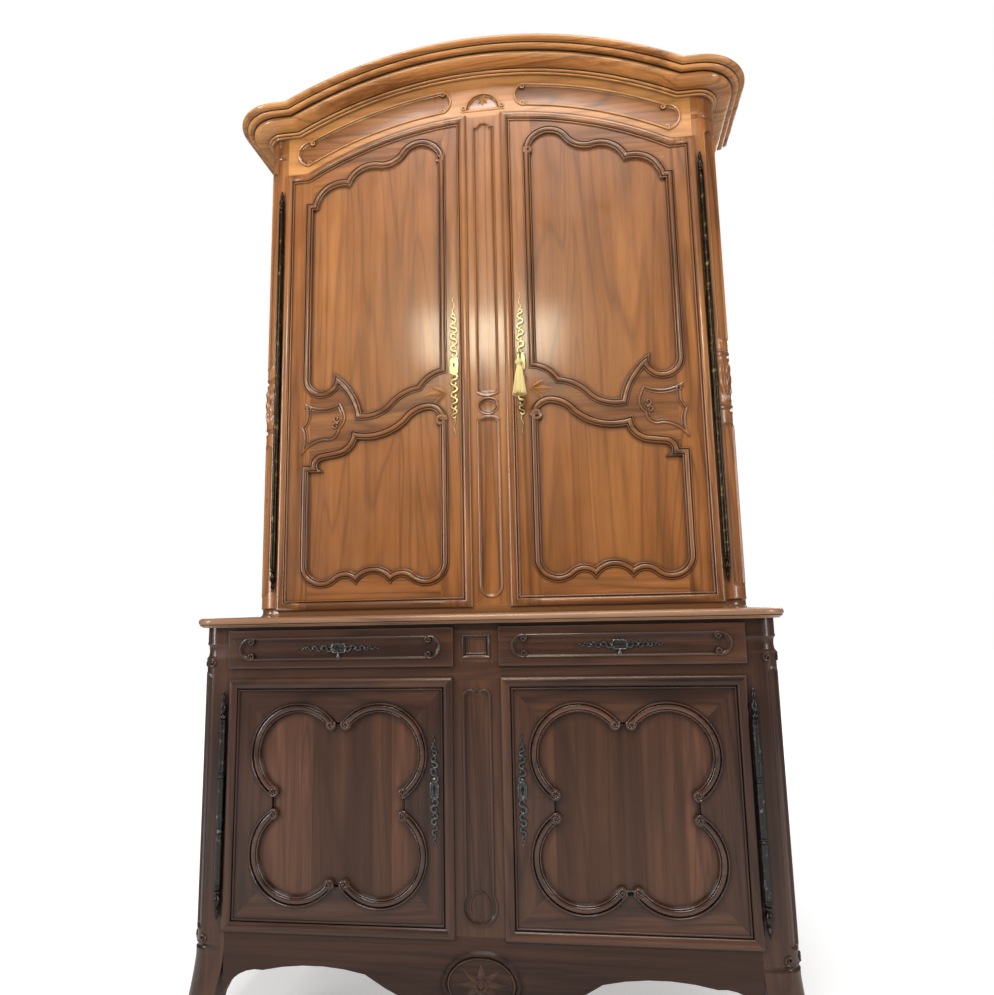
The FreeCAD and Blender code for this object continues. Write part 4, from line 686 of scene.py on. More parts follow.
half_turn = (TOP_END + LOW_END) / 2
SIDE_SHARE, TOP_SHARE = 0.3, 0.5
quatrefoil = Outline(*on_lobe(1, 1, LOW_END))
for lobe, after, end, share in (
    ((1, 1), (-1, 1), TOP_END, TOP_SHARE), ((-1, 1), (-1, -1), LOW_END, SIDE_SHARE),
    ((-1, -1), (1, -1), TOP_END, TOP_SHARE), ((1, -1), (1, 1), LOW_END, SIDE_SHARE),
):
    quatrefoil.arc(on_lobe(*lobe, half_turn), on_lobe(*lobe, end))
    quatrefoil.line(*on_lobe(*after, end), share=share, plain=True)
seat_half, seat_rise = LOBE_SPREAD + LOBE_RADIUS - SEAT, LOBE_RISE + LOBE_RADIUS - SEAT
square_seat = rectangle((lower_middle[0] - seat_half, lower_middle[0] + seat_half),
                        (lower_middle[1] - seat_rise, lower_middle[1] + seat_rise))

rim_profile = (
    [(REAR_INSET, DOOR_THICK), (REAR_INSET, LIP_DEPTH), (0.0, LIP_DEPTH), (0.0, 8.0)]
    + half_round(0.0, 26.0, 8.0, 0.0, 12)[1:]
    + half_round(27.0, 5.0, 7.5, 5.0, 5)
    + [(33.0, FIELD_DROP)]
)
panel_profile = (
    [(0.0, FIELD_DROP)]
    + half_round(0.4, 4.6, 8.0, 5.2, 5)
    + half_round(6.0, 13.5, 7.6, 2.6, 10)
    + half_round(20.3, 4.2, 8.6, 6.6, 5)
    + [(25.4, 12.0), (MOULDING, PANEL_DROP)]
)
lobe_profile = (
    [(0.0, FIELD_DROP)]
    + half_round(0.3, 5.2, 8.0, 2.6, 7)
    + half_round(6.4, 12.6, 7.6, 5.0, 8)
    + half_round(19.8, 4.4, 8.8, 6.4, 5)
    + [(25.4, 12.0), (MOULDING, PANEL_DROP)]
)


# Places in a door frame's list of materials
UPRIGHT, CROSSWISE, MOULDED, UPRIGHT_BEAD = range(4)
RAIL_BELOW, RAIL_ABOVE = 130, 165


def door_frame(bm, face, rim, openings, moulding=panel_profile):
    """A door's moulded frame with its panel seats behind."""
    back, field = bands(bm, rim, rim_profile, face)
    fronts, backs = [], []
    for outline, seat in openings:
        before = set(bm.faces)
        outer, inner = bands(bm, outline, moulding, face)
        paint(bm, before, MOULDED)
        ledge, rear = bands(bm, seat, [(0.0, PANEL_DROP), (0.0, DOOR_THICK)], face)
        fill(bm, ledge, inner)
        fronts.append(outer)
        backs.append(rear)
    fill(bm, field, *fronts)
    fill(bm, back, *backs)


def part_at(bm, point, normal):
    geometry = bm.verts[:] + bm.edges[:] + bm.faces[:]
    bmesh.ops.bisect_plane(bm, geom=geometry, plane_co=Vector(point) * MM, plane_no=normal, dist=1e-7)


def upper_frame(bm):
    door_frame(bm, UPPER_DOOR_FACE, upper_rim, [(upper_panel, upper_seat), (lower_panel, lower_seat)])
    inner, outer = PANEL_LEFT + MOULDING, PANEL_RIGHT - MOULDING
    for x in (inner, outer):
        part_at(bm, (x, 0, 0), (1, 0, 0))
    for face in bm.faces:
        centre = face.calc_center_median() / MM
        if not inner < centre.x < outer:
            face.material_index = UPRIGHT_BEAD if face.material_index == MOULDED else UPRIGHT
        elif face.material_index != MOULDED:
            on_rail = MID_LEVEL - RAIL_BELOW < centre.z < MID_LEVEL + RAIL_ABOVE
            face.material_index = MOULDED if on_rail else CROSSWISE


def lower_frame(bm):
    door_frame(bm, LOWER_DOOR_FACE, rectangle(LOWER_DOOR_X, LOWER_DOOR_Z), [(quatrefoil, square_seat)],
               lobe_profile)
    x, z = lower_middle
    wide, tall = (LOWER_DOOR_X[1] - LOWER_DOOR_X[0]) / 2, (LOWER_DOOR_Z[1] - LOWER_DOOR_Z[0]) / 2
    for way in (1, -1):
        part_at(bm, (x, 0, z), (tall, 0, way * wide))
    for face in bm.faces:
        centre = face.calc_center_median() / MM
        link = abs(centre.x - x) < LINK_WIDE or abs(centre.z - z) < LINK_HIGH
        if face.material_index != MOULDED or link:
            level = abs(centre.z - z) / tall > abs(centre.x - x) / wide
            face.material_index = CROSSWISE if level else UPRIGHT


pair("upper_{}_carved_frame", upper_frame, "upper_{}_door", "walnut_upper",
     [upper_wood["z"], upper_wood["x"], rail_wood, bead_wood], ["upper_{}_door_frame"])
pair("lower_{}_carved_frame", lower_frame, "lower_{}_door", "walnut_lower",
     [lower_wood["z"], lower_wood["x"], lobe_wood_painted_highlight], ["lower_{}_door_frame"])


def volute(bm, centre, size, turns, start, way, y, rise, thick):
    """A rolled scroll end, thick at its mouth and fine at its eye."""
    points = spiral(centre, size, turns, start, way, y, rise)
    radii = [thick * (1 - 0.6 * share) * MM for share in shares(len(points) - 1)]
    tube(bm, points, radii, 10, 0.85)


def lobe_end(inset, top):
    """Where a lobe's moulding ends at an inset, from the door's middle."""
    radius = LOBE_RADIUS - inset
    if top:
        rise = LOBE_RADIUS * sin(TOP_END) - TOP_SHARE * inset
        return LOBE_SPREAD - sqrt(radius**2 - rise**2), LOBE_RISE + rise
    reach = LOBE_RADIUS * cos(LOW_END) - SIDE_SHARE * inset
    return LOBE_SPREAD + reach, LOBE_RISE - sqrt(radius**2 - reach**2)


def lobe_scrolls(bm):
    """A round boss with a rolled bead on it at both ends of each lobe."""
    for right in (1, -1):
        for up in (1, -1):
            for top, way in ((True, 1), (False, -1)):
                reach, rise = lobe_end(MOULDING / 2, top)
                x, z = lower_middle[0] + right * reach, lower_middle[1] + up * rise
                start = atan2(up * (rise - LOBE_RISE), right * (reach - LOBE_SPREAD))
                boss = [spot(x, LOWER_DOOR_FACE + depth, z) for depth in (PANEL_DROP, 6.6, 5.8)]
                tube(bm, boss, [13.2 * MM, 13.0 * MM, 11.0 * MM], 24, 1.0, UP)
                volute(bm, (x, z), 11.0, 1.5, start, way * right * up, LOWER_DOOR_FACE + 5.4, 2.0, 3.2)


pair("lower_{}_lobe_scrolls", lobe_scrolls, "lower_{}_door", "walnut_lower", [lobe_wood_painted_highlight])


def leaf(bm, base, tip, half, y, rise):
    """A carved pointed leaf with a sharp rib, between two (x, z) points."""
    across_x, across_z = tip[1] - base[1], base[0] - tip[0]
    length = hypot(across_x, across_z)
    across_x, across_z = across_x / length * half, across_z / length * half
    rows = []
    for share in shares(10):
        x, z = (a + (b - a) * share for a, b in zip(base, tip))
        wide = max(0.03, sin(pi * min(1.0, 0.12 + share * 0.88)) ** 0.8)
        row = []
        for side, lift in ((-1, 0.0), (-0.5, 0.45), (0, 1.0), (0.5, 0.45), (1, 0.0)):
            aside = side * wide
            row.append(bm.verts.new(spot(x + across_x * aside, y - rise * lift * wide, z + across_z * aside)))
        rows.append(row)
    loft(bm, rows)


def rail_carving(bm):
    """Volutes where an upper door's mouldings end beside its inner stile, and the leaves over them."""
    level = UPPER_DOOR_FACE + 9.0
    volute(bm, (across(0.045), MID_LEVEL - 4), 17.0, 1.4, pi, -1, level, 5.0, 7.8)
    top = under_arch(0.04, 0.185)
    volute(bm, top, 13.0, 1.3, pi * 0.8, 1, level, 5.0, 7.4)
    field = UPPER_DOOR_FACE + FIELD_DROP + 0.4
    root = (across(0.012), MID_LEVEL + 82)
    before = set(bm.faces)
    for reach, lift, half in ((72, -4, 12.0), (44, 26, 8.0), (40, -34, 8.0)):
        leaf(bm, root, (root[0] + reach, root[1] + lift), half, field, 9.5)
    paint(bm, before, 1)


pair("upper_{}_rail_carving", rail_carving, "upper_{}_door", "walnut_upper",
     [rail_wood, leaf_wood_painted_highlight], angle=25.0)


def bead_line(bm, points, y, thick, closed=False):
    """A thin raised bead along (x, z) points."""
    path = [spot(x, y, z) for x, z in points]
    if closed:
        hoop(bm, path, thick)
    else:
        tube(bm, path, [thick * MM] * len(path), 8, 0.9)


def cartouche(bm):
    """The beaded shield at the outer end of the carved rail."""

    def on_rail(x, rise):
        return x, MID_LEVEL + rise

    level = UPPER_DOOR_FACE + FIELD_DROP - 0.4
    shield = (
        Outline(*on_rail(478, 69))
        .bends(on_rail, (532, 54, 593, 72), (584, 28, 601, -5), (592, -45, 604, -93), (569, -59, 526, -46),
               (494, -41, 481, -13), (462, 17, 466, 42))
        .close()
    )
    bead_line(bm, shield.points(), level, 3.3, closed=True)
    bead_line(bm, shield.inset(8.5).points(), level, 1.7, closed=True)
    for x, rise, start, way in ((493, -4, 2.4, -1), (489, 19, 3.6, 1), (583, 57, 0.4, 1)):
        volute(bm, on_rail(x, rise), 11.0, 1.25, start, way, level, 2.4, 3.6)


pair("upper_{}_cartouche", cartouche, "upper_{}_door", "walnut_upper", [rail_wood])

# Carving on the fixed fronts: beads, scrolls and a rosette laid on the cut panels

BEAD = 3.2
frieze_low, frieze_high = ARCH_RADIUS + FRIEZE_HEIGHT * 0.2, ARCH_RADIUS + FRIEZE_HEIGHT * 0.76
frieze_middle, frieze_bulge = (frieze_low + frieze_high) / 2, FRIEZE_HEIGHT / 4
FRIEZE_IN, FRIEZE_OUT = 130.0, 598.0


def frieze_carving(bm):
    far = FRIEZE_OUT - frieze_bulge / 4
    panel = (
        Outline(*arch(frieze_low, FRIEZE_IN))
        .arc(arch_via(frieze_low, FRIEZE_IN, FRIEZE_OUT), arch(frieze_low, FRIEZE_OUT))
        .arc(arch(frieze_middle, FRIEZE_OUT + frieze_bulge), arch(frieze_high, far))
        .arc(arch_via(frieze_high, far, FRIEZE_IN), arch(frieze_high, FRIEZE_IN))
        .arc(arch(frieze_middle, FRIEZE_IN - frieze_bulge * 2 / 3), arch(frieze_low, FRIEZE_IN))
    )
    bead_line(bm, panel.points(), UPPER_FACE - 1.0, BEAD, closed=True)
    for radius, x, start, way in (
        (frieze_high - 7, FRIEZE_IN + 5, 1.6, 1), (frieze_low + 7, FRIEZE_IN + 5, -1.6, -1),
        (frieze_high - 8, far - 6, 1.2, -1), (frieze_low + 7, FRIEZE_OUT - 4, -1.9, 1),
    ):
        volute(bm, arch(radius, x), 8.5, 1.3, start, way, UPPER_FACE - 0.4, 1.6, 3.2)


lunette_base, LUNETTE = ARCH_CENTRE + frieze_low - frieze_bulge / 4, 57.0


def lunette_carving(bm):
    rise = [(LUNETTE * cos(turn), lunette_base + LUNETTE * sin(turn))
            for turn in (pi * share for share in shares(24))]
    bead_line(bm, rise, UPPER_FACE, 3.0)
    inner = [(x * 0.86, lunette_base + (z - lunette_base) * 0.86) for x, z in rise]
    bead_line(bm, inner, UPPER_FACE + 2.6, 1.5)
    bead_line(bm, [(-LUNETTE - 16, lunette_base - 4), (LUNETTE + 16, lunette_base - 4)], UPPER_FACE, 2.4)
    sunk = UPPER_FACE + 4.0
    crown = (0.0, lunette_base + LUNETTE - 4)
    for aside, fall, half in ((0, 40, 8.0), (14, 34, 6.0), (-14, 34, 6.0)):
        leaf(bm, crown, (crown[0] + aside, crown[1] - fall), half, sunk, 6.5)
    for side in (1, -1):
        eye = (side * (LUNETTE + 7), lunette_base + 8)
        volute(bm, eye, 9.0, 1.3, pi / 2 + side * pi / 2, -side, UPPER_FACE - 0.4, 1.6, 3.4)


OVAL_LEVEL, OVAL_WIDE, OVAL_HIGH = 1675.0, 32.0, 26.0
STILE_TOP = arch(ARCH_RADIUS - 8, 64.0)[1] - 24
STILE_FOOT, STILE_EAR = UPPER_DOOR_BOTTOM + 32, 15.3


def oval_points(z, wide, high):
    return [(wide * cos(turn), z + high * sin(turn)) for turn in circle(40)]


def stile_carving(bm):
    ledge, end = OVAL_HIGH + 10, OVAL_HIGH + 22
    high = (
        Outline(-OVAL_WIDE, OVAL_LEVEL + end)
        .arc((0, OVAL_LEVEL + ledge), (OVAL_WIDE, OVAL_LEVEL + end))
        .line(OVAL_WIDE, STILE_TOP - STILE_EAR)
        .line(OVAL_WIDE * 0.65, STILE_TOP - STILE_EAR)
        .arc((0, STILE_TOP), (-OVAL_WIDE * 0.65, STILE_TOP - STILE_EAR))
        .line(-OVAL_WIDE, STILE_TOP - STILE_EAR)
        .close()
    )
    low = (
        Outline(-OVAL_WIDE, STILE_FOOT + OVAL_WIDE)
        .arc((0, STILE_FOOT), (OVAL_WIDE, STILE_FOOT + OVAL_WIDE))
        .line(OVAL_WIDE, OVAL_LEVEL - end)
        .arc((0, OVAL_LEVEL - ledge), (-OVAL_WIDE, OVAL_LEVEL - end))
        .close()
    )
    for panel in (high, low):
        bead_line(bm, panel.inset(-1.0).points(), UPPER_FACE, BEAD, closed=True)
    for inset, sunk, thick in ((0, 0.0, 2.8), (8, 3.4, 1.6)):
        oval = oval_points(OVAL_LEVEL, OVAL_WIDE - inset, OVAL_HIGH - inset)
        bead_line(bm, oval, UPPER_FACE + sunk, thick, closed=True)
    for side in (1, -1):
        shelf = [(OVAL_WIDE * share * 1.12, OVAL_LEVEL + side * (OVAL_HIGH + 6 + 12 * share * share))
                 for share in (step / 8 - 1 for step in range(17))]
        bead_line(bm, shelf, UPPER_FACE - 0.6, 3.2)


def whole_frieze(bm):
    frieze_carving(bm)
    mirrored(bm)
    frieze_carving(bm)
    lunette_carving(bm)


single("frieze_carving", whole_frieze, "case", "walnut_upper", [crown_wood_painted_light])
single("upper_stile_carving", stile_carving, "case", "walnut_upper", [upper_wood["z"]])

STILE_PANEL, LOWER_EAR = 34.0, 15.3


def lower_stile_carving(bm):
    low, high = 297.0, 850.0
    panel = (
        Outline(-STILE_PANEL, low + STILE_PANEL * 2)
        .arc((0, low), (STILE_PANEL, low + STILE_PANEL * 2))
        .line(STILE_PANEL, high - LOWER_EAR)
        .arc((STILE_PANEL * 0.75, high - LOWER_EAR * 0.1), (LOWER_EAR * 0.5, high - LOWER_EAR * 0.3))
        .line(0, high + LOWER_EAR * 0.3)
        .line(-LOWER_EAR * 0.5, high - LOWER_EAR * 0.3)
        .arc((-STILE_PANEL * 0.75, high - LOWER_EAR * 0.1), (-STILE_PANEL, high - LOWER_EAR))
        .close()
    )
    bead_line(bm, panel.points(), LOWER_FACE, BEAD, closed=True)
    horseshoe = [(STILE_PANEL * 0.72 * cos(turn), low + 42 + 34 * sin(turn))
                 for turn in (pi * (share * 1.3 - 0.15) for share in shares(18))]
    bead_line(bm, horseshoe, LOWER_FACE + 3.4, 2.2)
    divider = rectangle((-STILE_PANEL, STILE_PANEL), (931.0, 985.0))
    bead_line(bm, divider.points(), LOWER_FACE, BEAD, closed=True)
    bead_line(bm, divider.inset(9.0).points(), LOWER_FACE + 3.4, 1.6, closed=True)


ROSETTE_LEVEL, ROSETTE_RAYS = 167.0, 8


def apron_carving(bm):
    """A star of sharp carved rays between two beaded ovals."""
    tips = []
    for step, turn in enumerate(circle(ROSETTE_RAYS * 2)):
        reach, turn = 0.42 if step % 2 else 1.0, turn + pi / 2
        x, rise = 66.0 * reach * cos(turn), 48.0 * reach * sin(turn)
        tips.append(bm.verts.new(spot(x, LOWER_FACE + 0.2, ROSETTE_LEVEL + rise)))
    peak = bm.verts.new(spot(0.0, LOWER_FACE - 6.8, ROSETTE_LEVEL))
    for near, far in zip(tips, tips[1:] + tips[:1]):
        bm.faces.new((near, far, peak))
    bm.faces.new(tips[::-1])
    bead_line(bm, oval_points(ROSETTE_LEVEL, 80.0, 58.0), LOWER_FACE - 0.5, 2.4, closed=True)
    bead_line(bm, oval_points(ROSETTE_LEVEL, 13.0, 11.0), LOWER_FACE - 4.6, 2.6, closed=True)


single("lower_stile_carving", lower_stile_carving, "case", "walnut_lower", [lower_wood["z"]])
single("apron_carving", apron_carving, "case", "walnut_lower", [lower_wood["x"]], angle=12.0)

DRAWER_X, DRAWER_MID, DRAWER_SCROLL = (57.0, 663.0), 958.0, 27.0


def drawer_carving(bm):
    """C-scrolls at the ends of a drawer's panel, and the beads between them."""
    level, eye = LOWER_DOOR_FACE, 8.5
    ends = (DRAWER_X[0] + DRAWER_SCROLL * 2.4, DRAWER_X[1] - DRAWER_SCROLL * 2.4)
    for side in (1, -1):
        edge = DRAWER_MID + side * DRAWER_SCROLL
        bead_line(bm, [(ends[0] + 6, edge), (ends[1] - 6, edge)], level, 2.2)
    for end, way in zip(ends, (-1, 1)):
        top, bottom = (end, DRAWER_MID + DRAWER_SCROLL), (end, DRAWER_MID - DRAWER_SCROLL)
        bow = Run(bottom, top, (end + way * DRAWER_SCROLL * 1.1, DRAWER_MID))
        bead_line(bm, [bow.at(share) for share in shares(18)], level, 3.0)
        for side in (1, -1):
            centre = (end, DRAWER_MID + side * (DRAWER_SCROLL - eye))
            volute(bm, centre, eye, 1.35, side * pi / 2, way * side, level - 0.4, 1.6, 3.2)


pair("{}_drawer_carving", drawer_carving, "{}_drawer", "walnut_lower", [lower_wood["x"]])

# Front posts: round corners with necks, beaded panels, leaf carving and swelling feet

SINK, PANEL_BOW = 4.0, 16.0
EDGE_BEAD, EDGE_SLOPE = 5.5, 2.5
RING_SPAN, END_SPAN = 6.5, 28
CORNER = [2.25 * step for step in range(41)]


def eased(value):
    value = min(max(value, 0.0), 1.0)
    return value * value * (3 - 2 * value)


def panel_cut(inside):
    """Depth of a beaded sunk panel at a distance inside its edge."""
    if inside <= 0:
        return 0.0
    if inside < EDGE_BEAD:
        return -1.6 * sin(pi * inside / EDGE_BEAD)
    return SINK * eased((inside - EDGE_BEAD) / EDGE_SLOPE)


def neck_cut(z, low, high):
    """Depth of a hollow neck, between two thin rings."""
    if low <= z <= high:
        return SINK * sqrt(max(0.0, 1 - ((2 * z - low - high) / (high - low)) ** 2))
    aside = low - z if z < low else z - high
    return -1.4 * sin(pi * aside / 6) if aside < 6 else 0.0


def corner_panel(z, angle, radius, low, high):
    """Depth of a long panel round a post's corner, with bowed ends."""
    bow = PANEL_BOW * ((angle - 45) / 27) ** 2
    edges = (radians(angle - 18) * radius, radians(72 - angle) * radius, z - low - bow, high - bow - z)
    return panel_cut(min(edges))


def close_levels(low, high, busy):
    """Heights from low to high, close together where a post is carved."""
    found = [low]
    while found[-1] < high:
        here = found[-1]
        carved = any(a <= here < b for a, b in busy)
        ahead = [a for a, b in busy if a > here + 1e-6]
        found.append(min([high, here + (2.4 if carved else 34.0)] + ahead))
    return found


def round_corner(outer, face, radius, reach, turn, z):
    """A place on a post's round corner, reach from the corner's axis."""
    return outer - radius + reach * sin(turn), face + radius - reach * cos(turn), z


def post(bm, plan, levels, cut):
    """A right front post. plan gives its lengths at a height, cut how far its round corner is carved away."""
    rows = []
    for z in levels:
        inner, outer, face, rear, radius = plan(z)
        row = [(inner, rear, z), (inner, face, z)]
        for angle in CORNER:
            reach, turn = radius - cut(z, angle, radius), radians(angle)
            row.append(round_corner(outer, face, radius, reach, turn, z))
        row.append((outer, rear, z))
        rows.append([bm.verts.new(Vector(point) * MM) for point in row])
    loft(bm, rows)


UPPER_POST = (669.0, 744.0, UPPER_FACE, UPPER_FACE + 60, 57.0)
SLAB_TOP, UPPER_TOP, CAP_LOW = 1040.0, BED_LEVEL + 20, BED_LEVEL - 62
LEAF_LOW, LEAF_HIGH, NECK = 1640.0, 1790.0, 16.0
UPPER_NECKS = ((SLAB_TOP + 4, SLAB_TOP + 24), (LEAF_LOW - NECK, LEAF_LOW), (LEAF_HIGH, LEAF_HIGH + NECK),
               (CAP_LOW - NECK, CAP_LOW))
UPPER_PANELS = ((SLAB_TOP + 54, LEAF_LOW - NECK - 30), (LEAF_HIGH + NECK + 30, CAP_LOW - NECK - 30))


def leaf_rise(z, angle):
    """Height of the leaf carved on an upper post."""
    share = (z - LEAF_LOW - 8) / (LEAF_HIGH - LEAF_LOW - 16)
    if not 0 < share < 1:
        return 0.0
    wide = 40 * sin(pi * (0.1 + 0.62 * share)) ** 1.2
    part = (angle - 45) / wide
    if abs(part) >= 1:
        return 0.0
    ribs = 0.5 + 0.5 * cos(part * pi * 5)
    lobes = 0.75 + 0.25 * cos(share * pi * 7)
    return 6.5 * (1 - part * part) * (0.35 + 0.65 * ribs) * lobes * eased(share * 6) * eased((1 - share) * 6)


def upper_cut(z, angle, radius):
    depth = sum(neck_cut(z, *neck) for neck in UPPER_NECKS)
    depth += sum(corner_panel(z, angle, radius, low, high) for low, high in UPPER_PANELS)
    return depth - leaf_rise(z, angle)


def upper_post(bm):
    busy = [(low - RING_SPAN, high + RING_SPAN) for low, high in UPPER_NECKS] + [(LEAF_LOW, LEAF_HIGH)]
    for low, high in UPPER_PANELS:
        busy += [(low, low + END_SPAN), (high - END_SPAN, high)]
    post(bm, lambda z: UPPER_POST, close_levels(SLAB_TOP, UPPER_TOP, busy), upper_cut)


LOWER_POST = (652.0, 740.0, LOWER_FACE, LOWER_FACE + 80, 42.0)
FOOT_TOP, FOOT_FLARE, LOWER_TOP = 228.0, 20.0, 1016.0
LOWER_NECK, LOWER_PANEL = (938.0, 970.0), (262.0, 902.0)
FOOT_NECK, FOOT_RINGS = (222.0, 232.0), (215.0, 239.0)
SCROLL_LOW, SCROLL_HIGH = 246.0, 922.0


def lower_plan(z):
    """The post's plan, swelling below the scroll's top into a foot."""
    inner, outer, face, rear, radius = LOWER_POST
    fall = max(0.0, 1 - z / FOOT_TOP)
    flare = FOOT_FLARE * sin(pi * 0.62 * fall**1.6)
    taper = (outer - inner) * 0.4 * (1 - cos(pi * fall)) / 2
    return inner + taper, outer + flare, face - flare, rear - taper / 2, radius + flare / 2


def lower_cut(z, angle, radius):
    depth = neck_cut(z, *LOWER_NECK) + corner_panel(z, angle, radius, *LOWER_PANEL)
    return depth + neck_cut(z, *FOOT_NECK)


def corner_scroll(bm, angle, z, start, way):
    """A volute laid round a lower post's corner."""
    inner, outer, face, rear, radius = LOWER_POST
    middle = radians(angle)
    points = []
    for flat in spiral((0.0, 0.0), 10.0, 1.4, start, way, 0.0, 1.8):
        aside, forward, up = flat / MM
        turn, reach = middle + aside / radius, radius + 0.6 - forward
        points.append(Vector(round_corner(outer, face, radius, reach, turn, z + up)) * MM)
    radii = [3.4 * (1 - 0.55 * share) * MM for share in shares(len(points) - 1)]
    tube(bm, points, radii, 8, 0.9, Vector((sin(middle), -cos(middle), 0)))


def lower_post(bm):
    low, high = LOWER_PANEL
    busy = [(LOWER_NECK[0] - RING_SPAN, LOWER_NECK[1] + RING_SPAN), FOOT_RINGS]
    busy += [(low, low + END_SPAN), (high - END_SPAN, high)]
    levels = [12.0 * step for step in range(18)] + close_levels(FOOT_RINGS[0], LOWER_TOP, busy)[1:]
    post(bm, lower_plan, levels, lower_cut)
    for angle, way in ((16, 1), (74, -1)):
        corner_scroll(bm, angle, SCROLL_HIGH, pi / 2, way)
        corner_scroll(bm, angle, SCROLL_LOW, -pi / 2, -way)


pair("upper_{}_carved_post", upper_post, "case", "walnut_upper", [upper_wood["z"]], ["upper_{}_post"])
pair("lower_{}_carved_post", lower_post, "case", "walnut_lower", [lower_wood["z"]], ["lower_{}_post"])

# The slab, drawn flat and laid down

SLAB_HALF, SLAB_CORNER, SLAB_THICK, SLAB_FRONT, SLAB_ROUND = 764.0, 66.0, 24.0, -350.0, 9.0
BACK = 350.0


def slab(bm):
    bow = SLAB_CORNER * (1 - sqrt(0.5))
    rim = (
        Outline(SLAB_HALF, SLAB_FRONT + SLAB_CORNER)
        .line(SLAB_HALF, BACK)
        .line(-SLAB_HALF, BACK, share=0)
        .line(-SLAB_HALF, SLAB_FRONT + SLAB_CORNER)
        .arc((-SLAB_HALF + bow, SLAB_FRONT + bow), (-SLAB_HALF + SLAB_CORNER, SLAB_FRONT))
        .line(SLAB_HALF - SLAB_CORNER, SLAB_FRONT)
        .arc((SLAB_HALF - bow, SLAB_FRONT + bow), (SLAB_HALF, SLAB_FRONT + SLAB_CORNER))
    )
    profile = [(11.0, SLAB_THICK), (9.0, 21.5), (5.5, 19.4), (3.2, 18.8), (2.6, 17.6)]
    for share in shares(12):
        turn = radians(-60 + 150 * share)
        profile.append((SLAB_ROUND - SLAB_ROUND * cos(turn), SLAB_ROUND - SLAB_ROUND * sin(turn)))
    under, top = bands(bm, rim, profile, 0.0)
    fill(bm, under)
    fill(bm, top)
    for vert in bm.verts:
        x, drop, y = vert.co
        vert.co = (x, y, SLAB_TOP * MM - drop)


single("moulded_slab", slab, "case", "walnut_lower", [slab_wood], ["top_slab"])

# The cornice, one moulding round the front and both sides

UPPER_HALF, UPPER_ROUND = 744.0, 57.0
CORNICE_RISE, CORNICE_REACH = 66.0, 108.0


def cornice_profile():
    """(rise, reach) points from the cornice's lowest inner corner round to its seat on the frieze."""
    points = [(0.0, 0.0)]
    points += bead(0.4, 5.6, 6.0, 7.5, 3.6)
    points += bead(7.0, 13.0, 13.0, 14.5, 4.2)
    points += [(14.0, 19.0)]
    for share in shares(12)[1:]:
        points.append((29.0 - 15.0 * cos(pi / 2 * share), 19.0 + 47.0 * sin(pi / 2 * share)))
    points += [(32.0, 66.8), (35.0, 66.8), (37.6, 65.6), (39.0, 63.0), (39.0, 79.0)]
    points += bead(39.6, 48.6, 79.0, 85.0, 6.5)
    points += [(49.0, 85.0), (50.0, 97.0)]
    points += bead(50.6, CORNICE_RISE, CORNICE_REACH - 11, CORNICE_REACH - 9, 9.9, 12)
    return points + [(CORNICE_RISE, -30.0), (20.0, -30.0), (20.0, 0.0)]


def cornice(bm):
    end = UPPER_HALF - UPPER_ROUND
    rows = []
    for rise, reach in cornice_profile():
        level, radius = BED_LEVEL + rise, BED_RADIUS + rise
        turn = sqrt(radius**2 - (level - ARCH_CENTRE) ** 2)
        bend, y = UPPER_ROUND + reach, UPPER_FACE - reach
        half = [(end + bend, BACK, level)]
        for share in shares(12):
            angle = pi / 2 * share
            half.append((end + bend * cos(angle), UPPER_FACE + UPPER_ROUND - bend * sin(angle), level))
        spread = asin(turn / radius)
        for share in shares(24)[:-1]:
            angle = spread * (1 - share)
            half.append((radius * sin(angle), y, ARCH_CENTRE + radius * cos(angle)))
        row = half + [(0.0, y, ARCH_CENTRE + radius)] + [(-a, b, c) for a, b, c in reversed(half)]
        rows.append([bm.verts.new(Vector(point) * MM) for point in row])
    for near, far in zip(rows, rows[1:] + rows[:1]):
        join(bm, near, far, loop=False)
    bm.faces.new([row[0] for row in rows])
    bm.faces.new([row[-1] for row in rows][::-1])


single("cornice_moulding", cornice, "case", "walnut_upper", [cornice_wood_painted_light], ["cornice"])

# Hinges

BARREL, PIN_GAP = 8.5, 0.5
FINIAL_LENGTH = 76.0
FINIAL = (
    (1.0, 0.0), (1.0, 0.03), (0.7, 0.045), (0.7, 0.085), (0.94, 0.1), (1.0, 0.13), (0.94, 0.16),
    (0.62, 0.19), (0.5, 0.24), (0.76, 0.29), (0.98, 0.36), (1.04, 0.42), (0.96, 0.49), (0.66, 0.57),
    (0.42, 0.63), (0.4, 0.67), (0.58, 0.7), (0.66, 0.75), (0.6, 0.81), (0.36, 0.86), (0.3, 0.89),
    (0.38, 0.92), (0.34, 0.96), (0.06, 1.0),
)
RING_CUT = ((0.8, 0.0), (0.0, 0.9), (0.0, 5.0), (0.9, 5.6), (0.9, 6.4), (0.0, 7.0))


def finial(end, way):
    return [(BARREL * wide, end + way * FINIAL_LENGTH * far) for wide, far in FINIAL]


def barrel(low, high):
    """A length of hinge barrel with a ring cut near each end."""
    lower = [(BARREL - cut, low + rise) for cut, rise in RING_CUT]
    return lower + [(BARREL - cut, high - rise) for cut, rise in reversed(RING_CUT)]


def post_hinge(bm, x, y, low, high):
    third = (high - low) / 3
    turned(bm, list(reversed(finial(low, -1))) + barrel(low + 0.1, low + third), x, y)
    turned(bm, barrel(high - third, high - 0.1) + finial(high, 1), x, y)
    turned(bm, [(4.0, low + third - 1), (4.0, high - third + 1)], x, y, 16)
    for bottom, top in ((low, low + third), (high - third, high)):
        block(bm, (x - 2, x), (y, y + BARREL + PIN_GAP), (bottom, top))


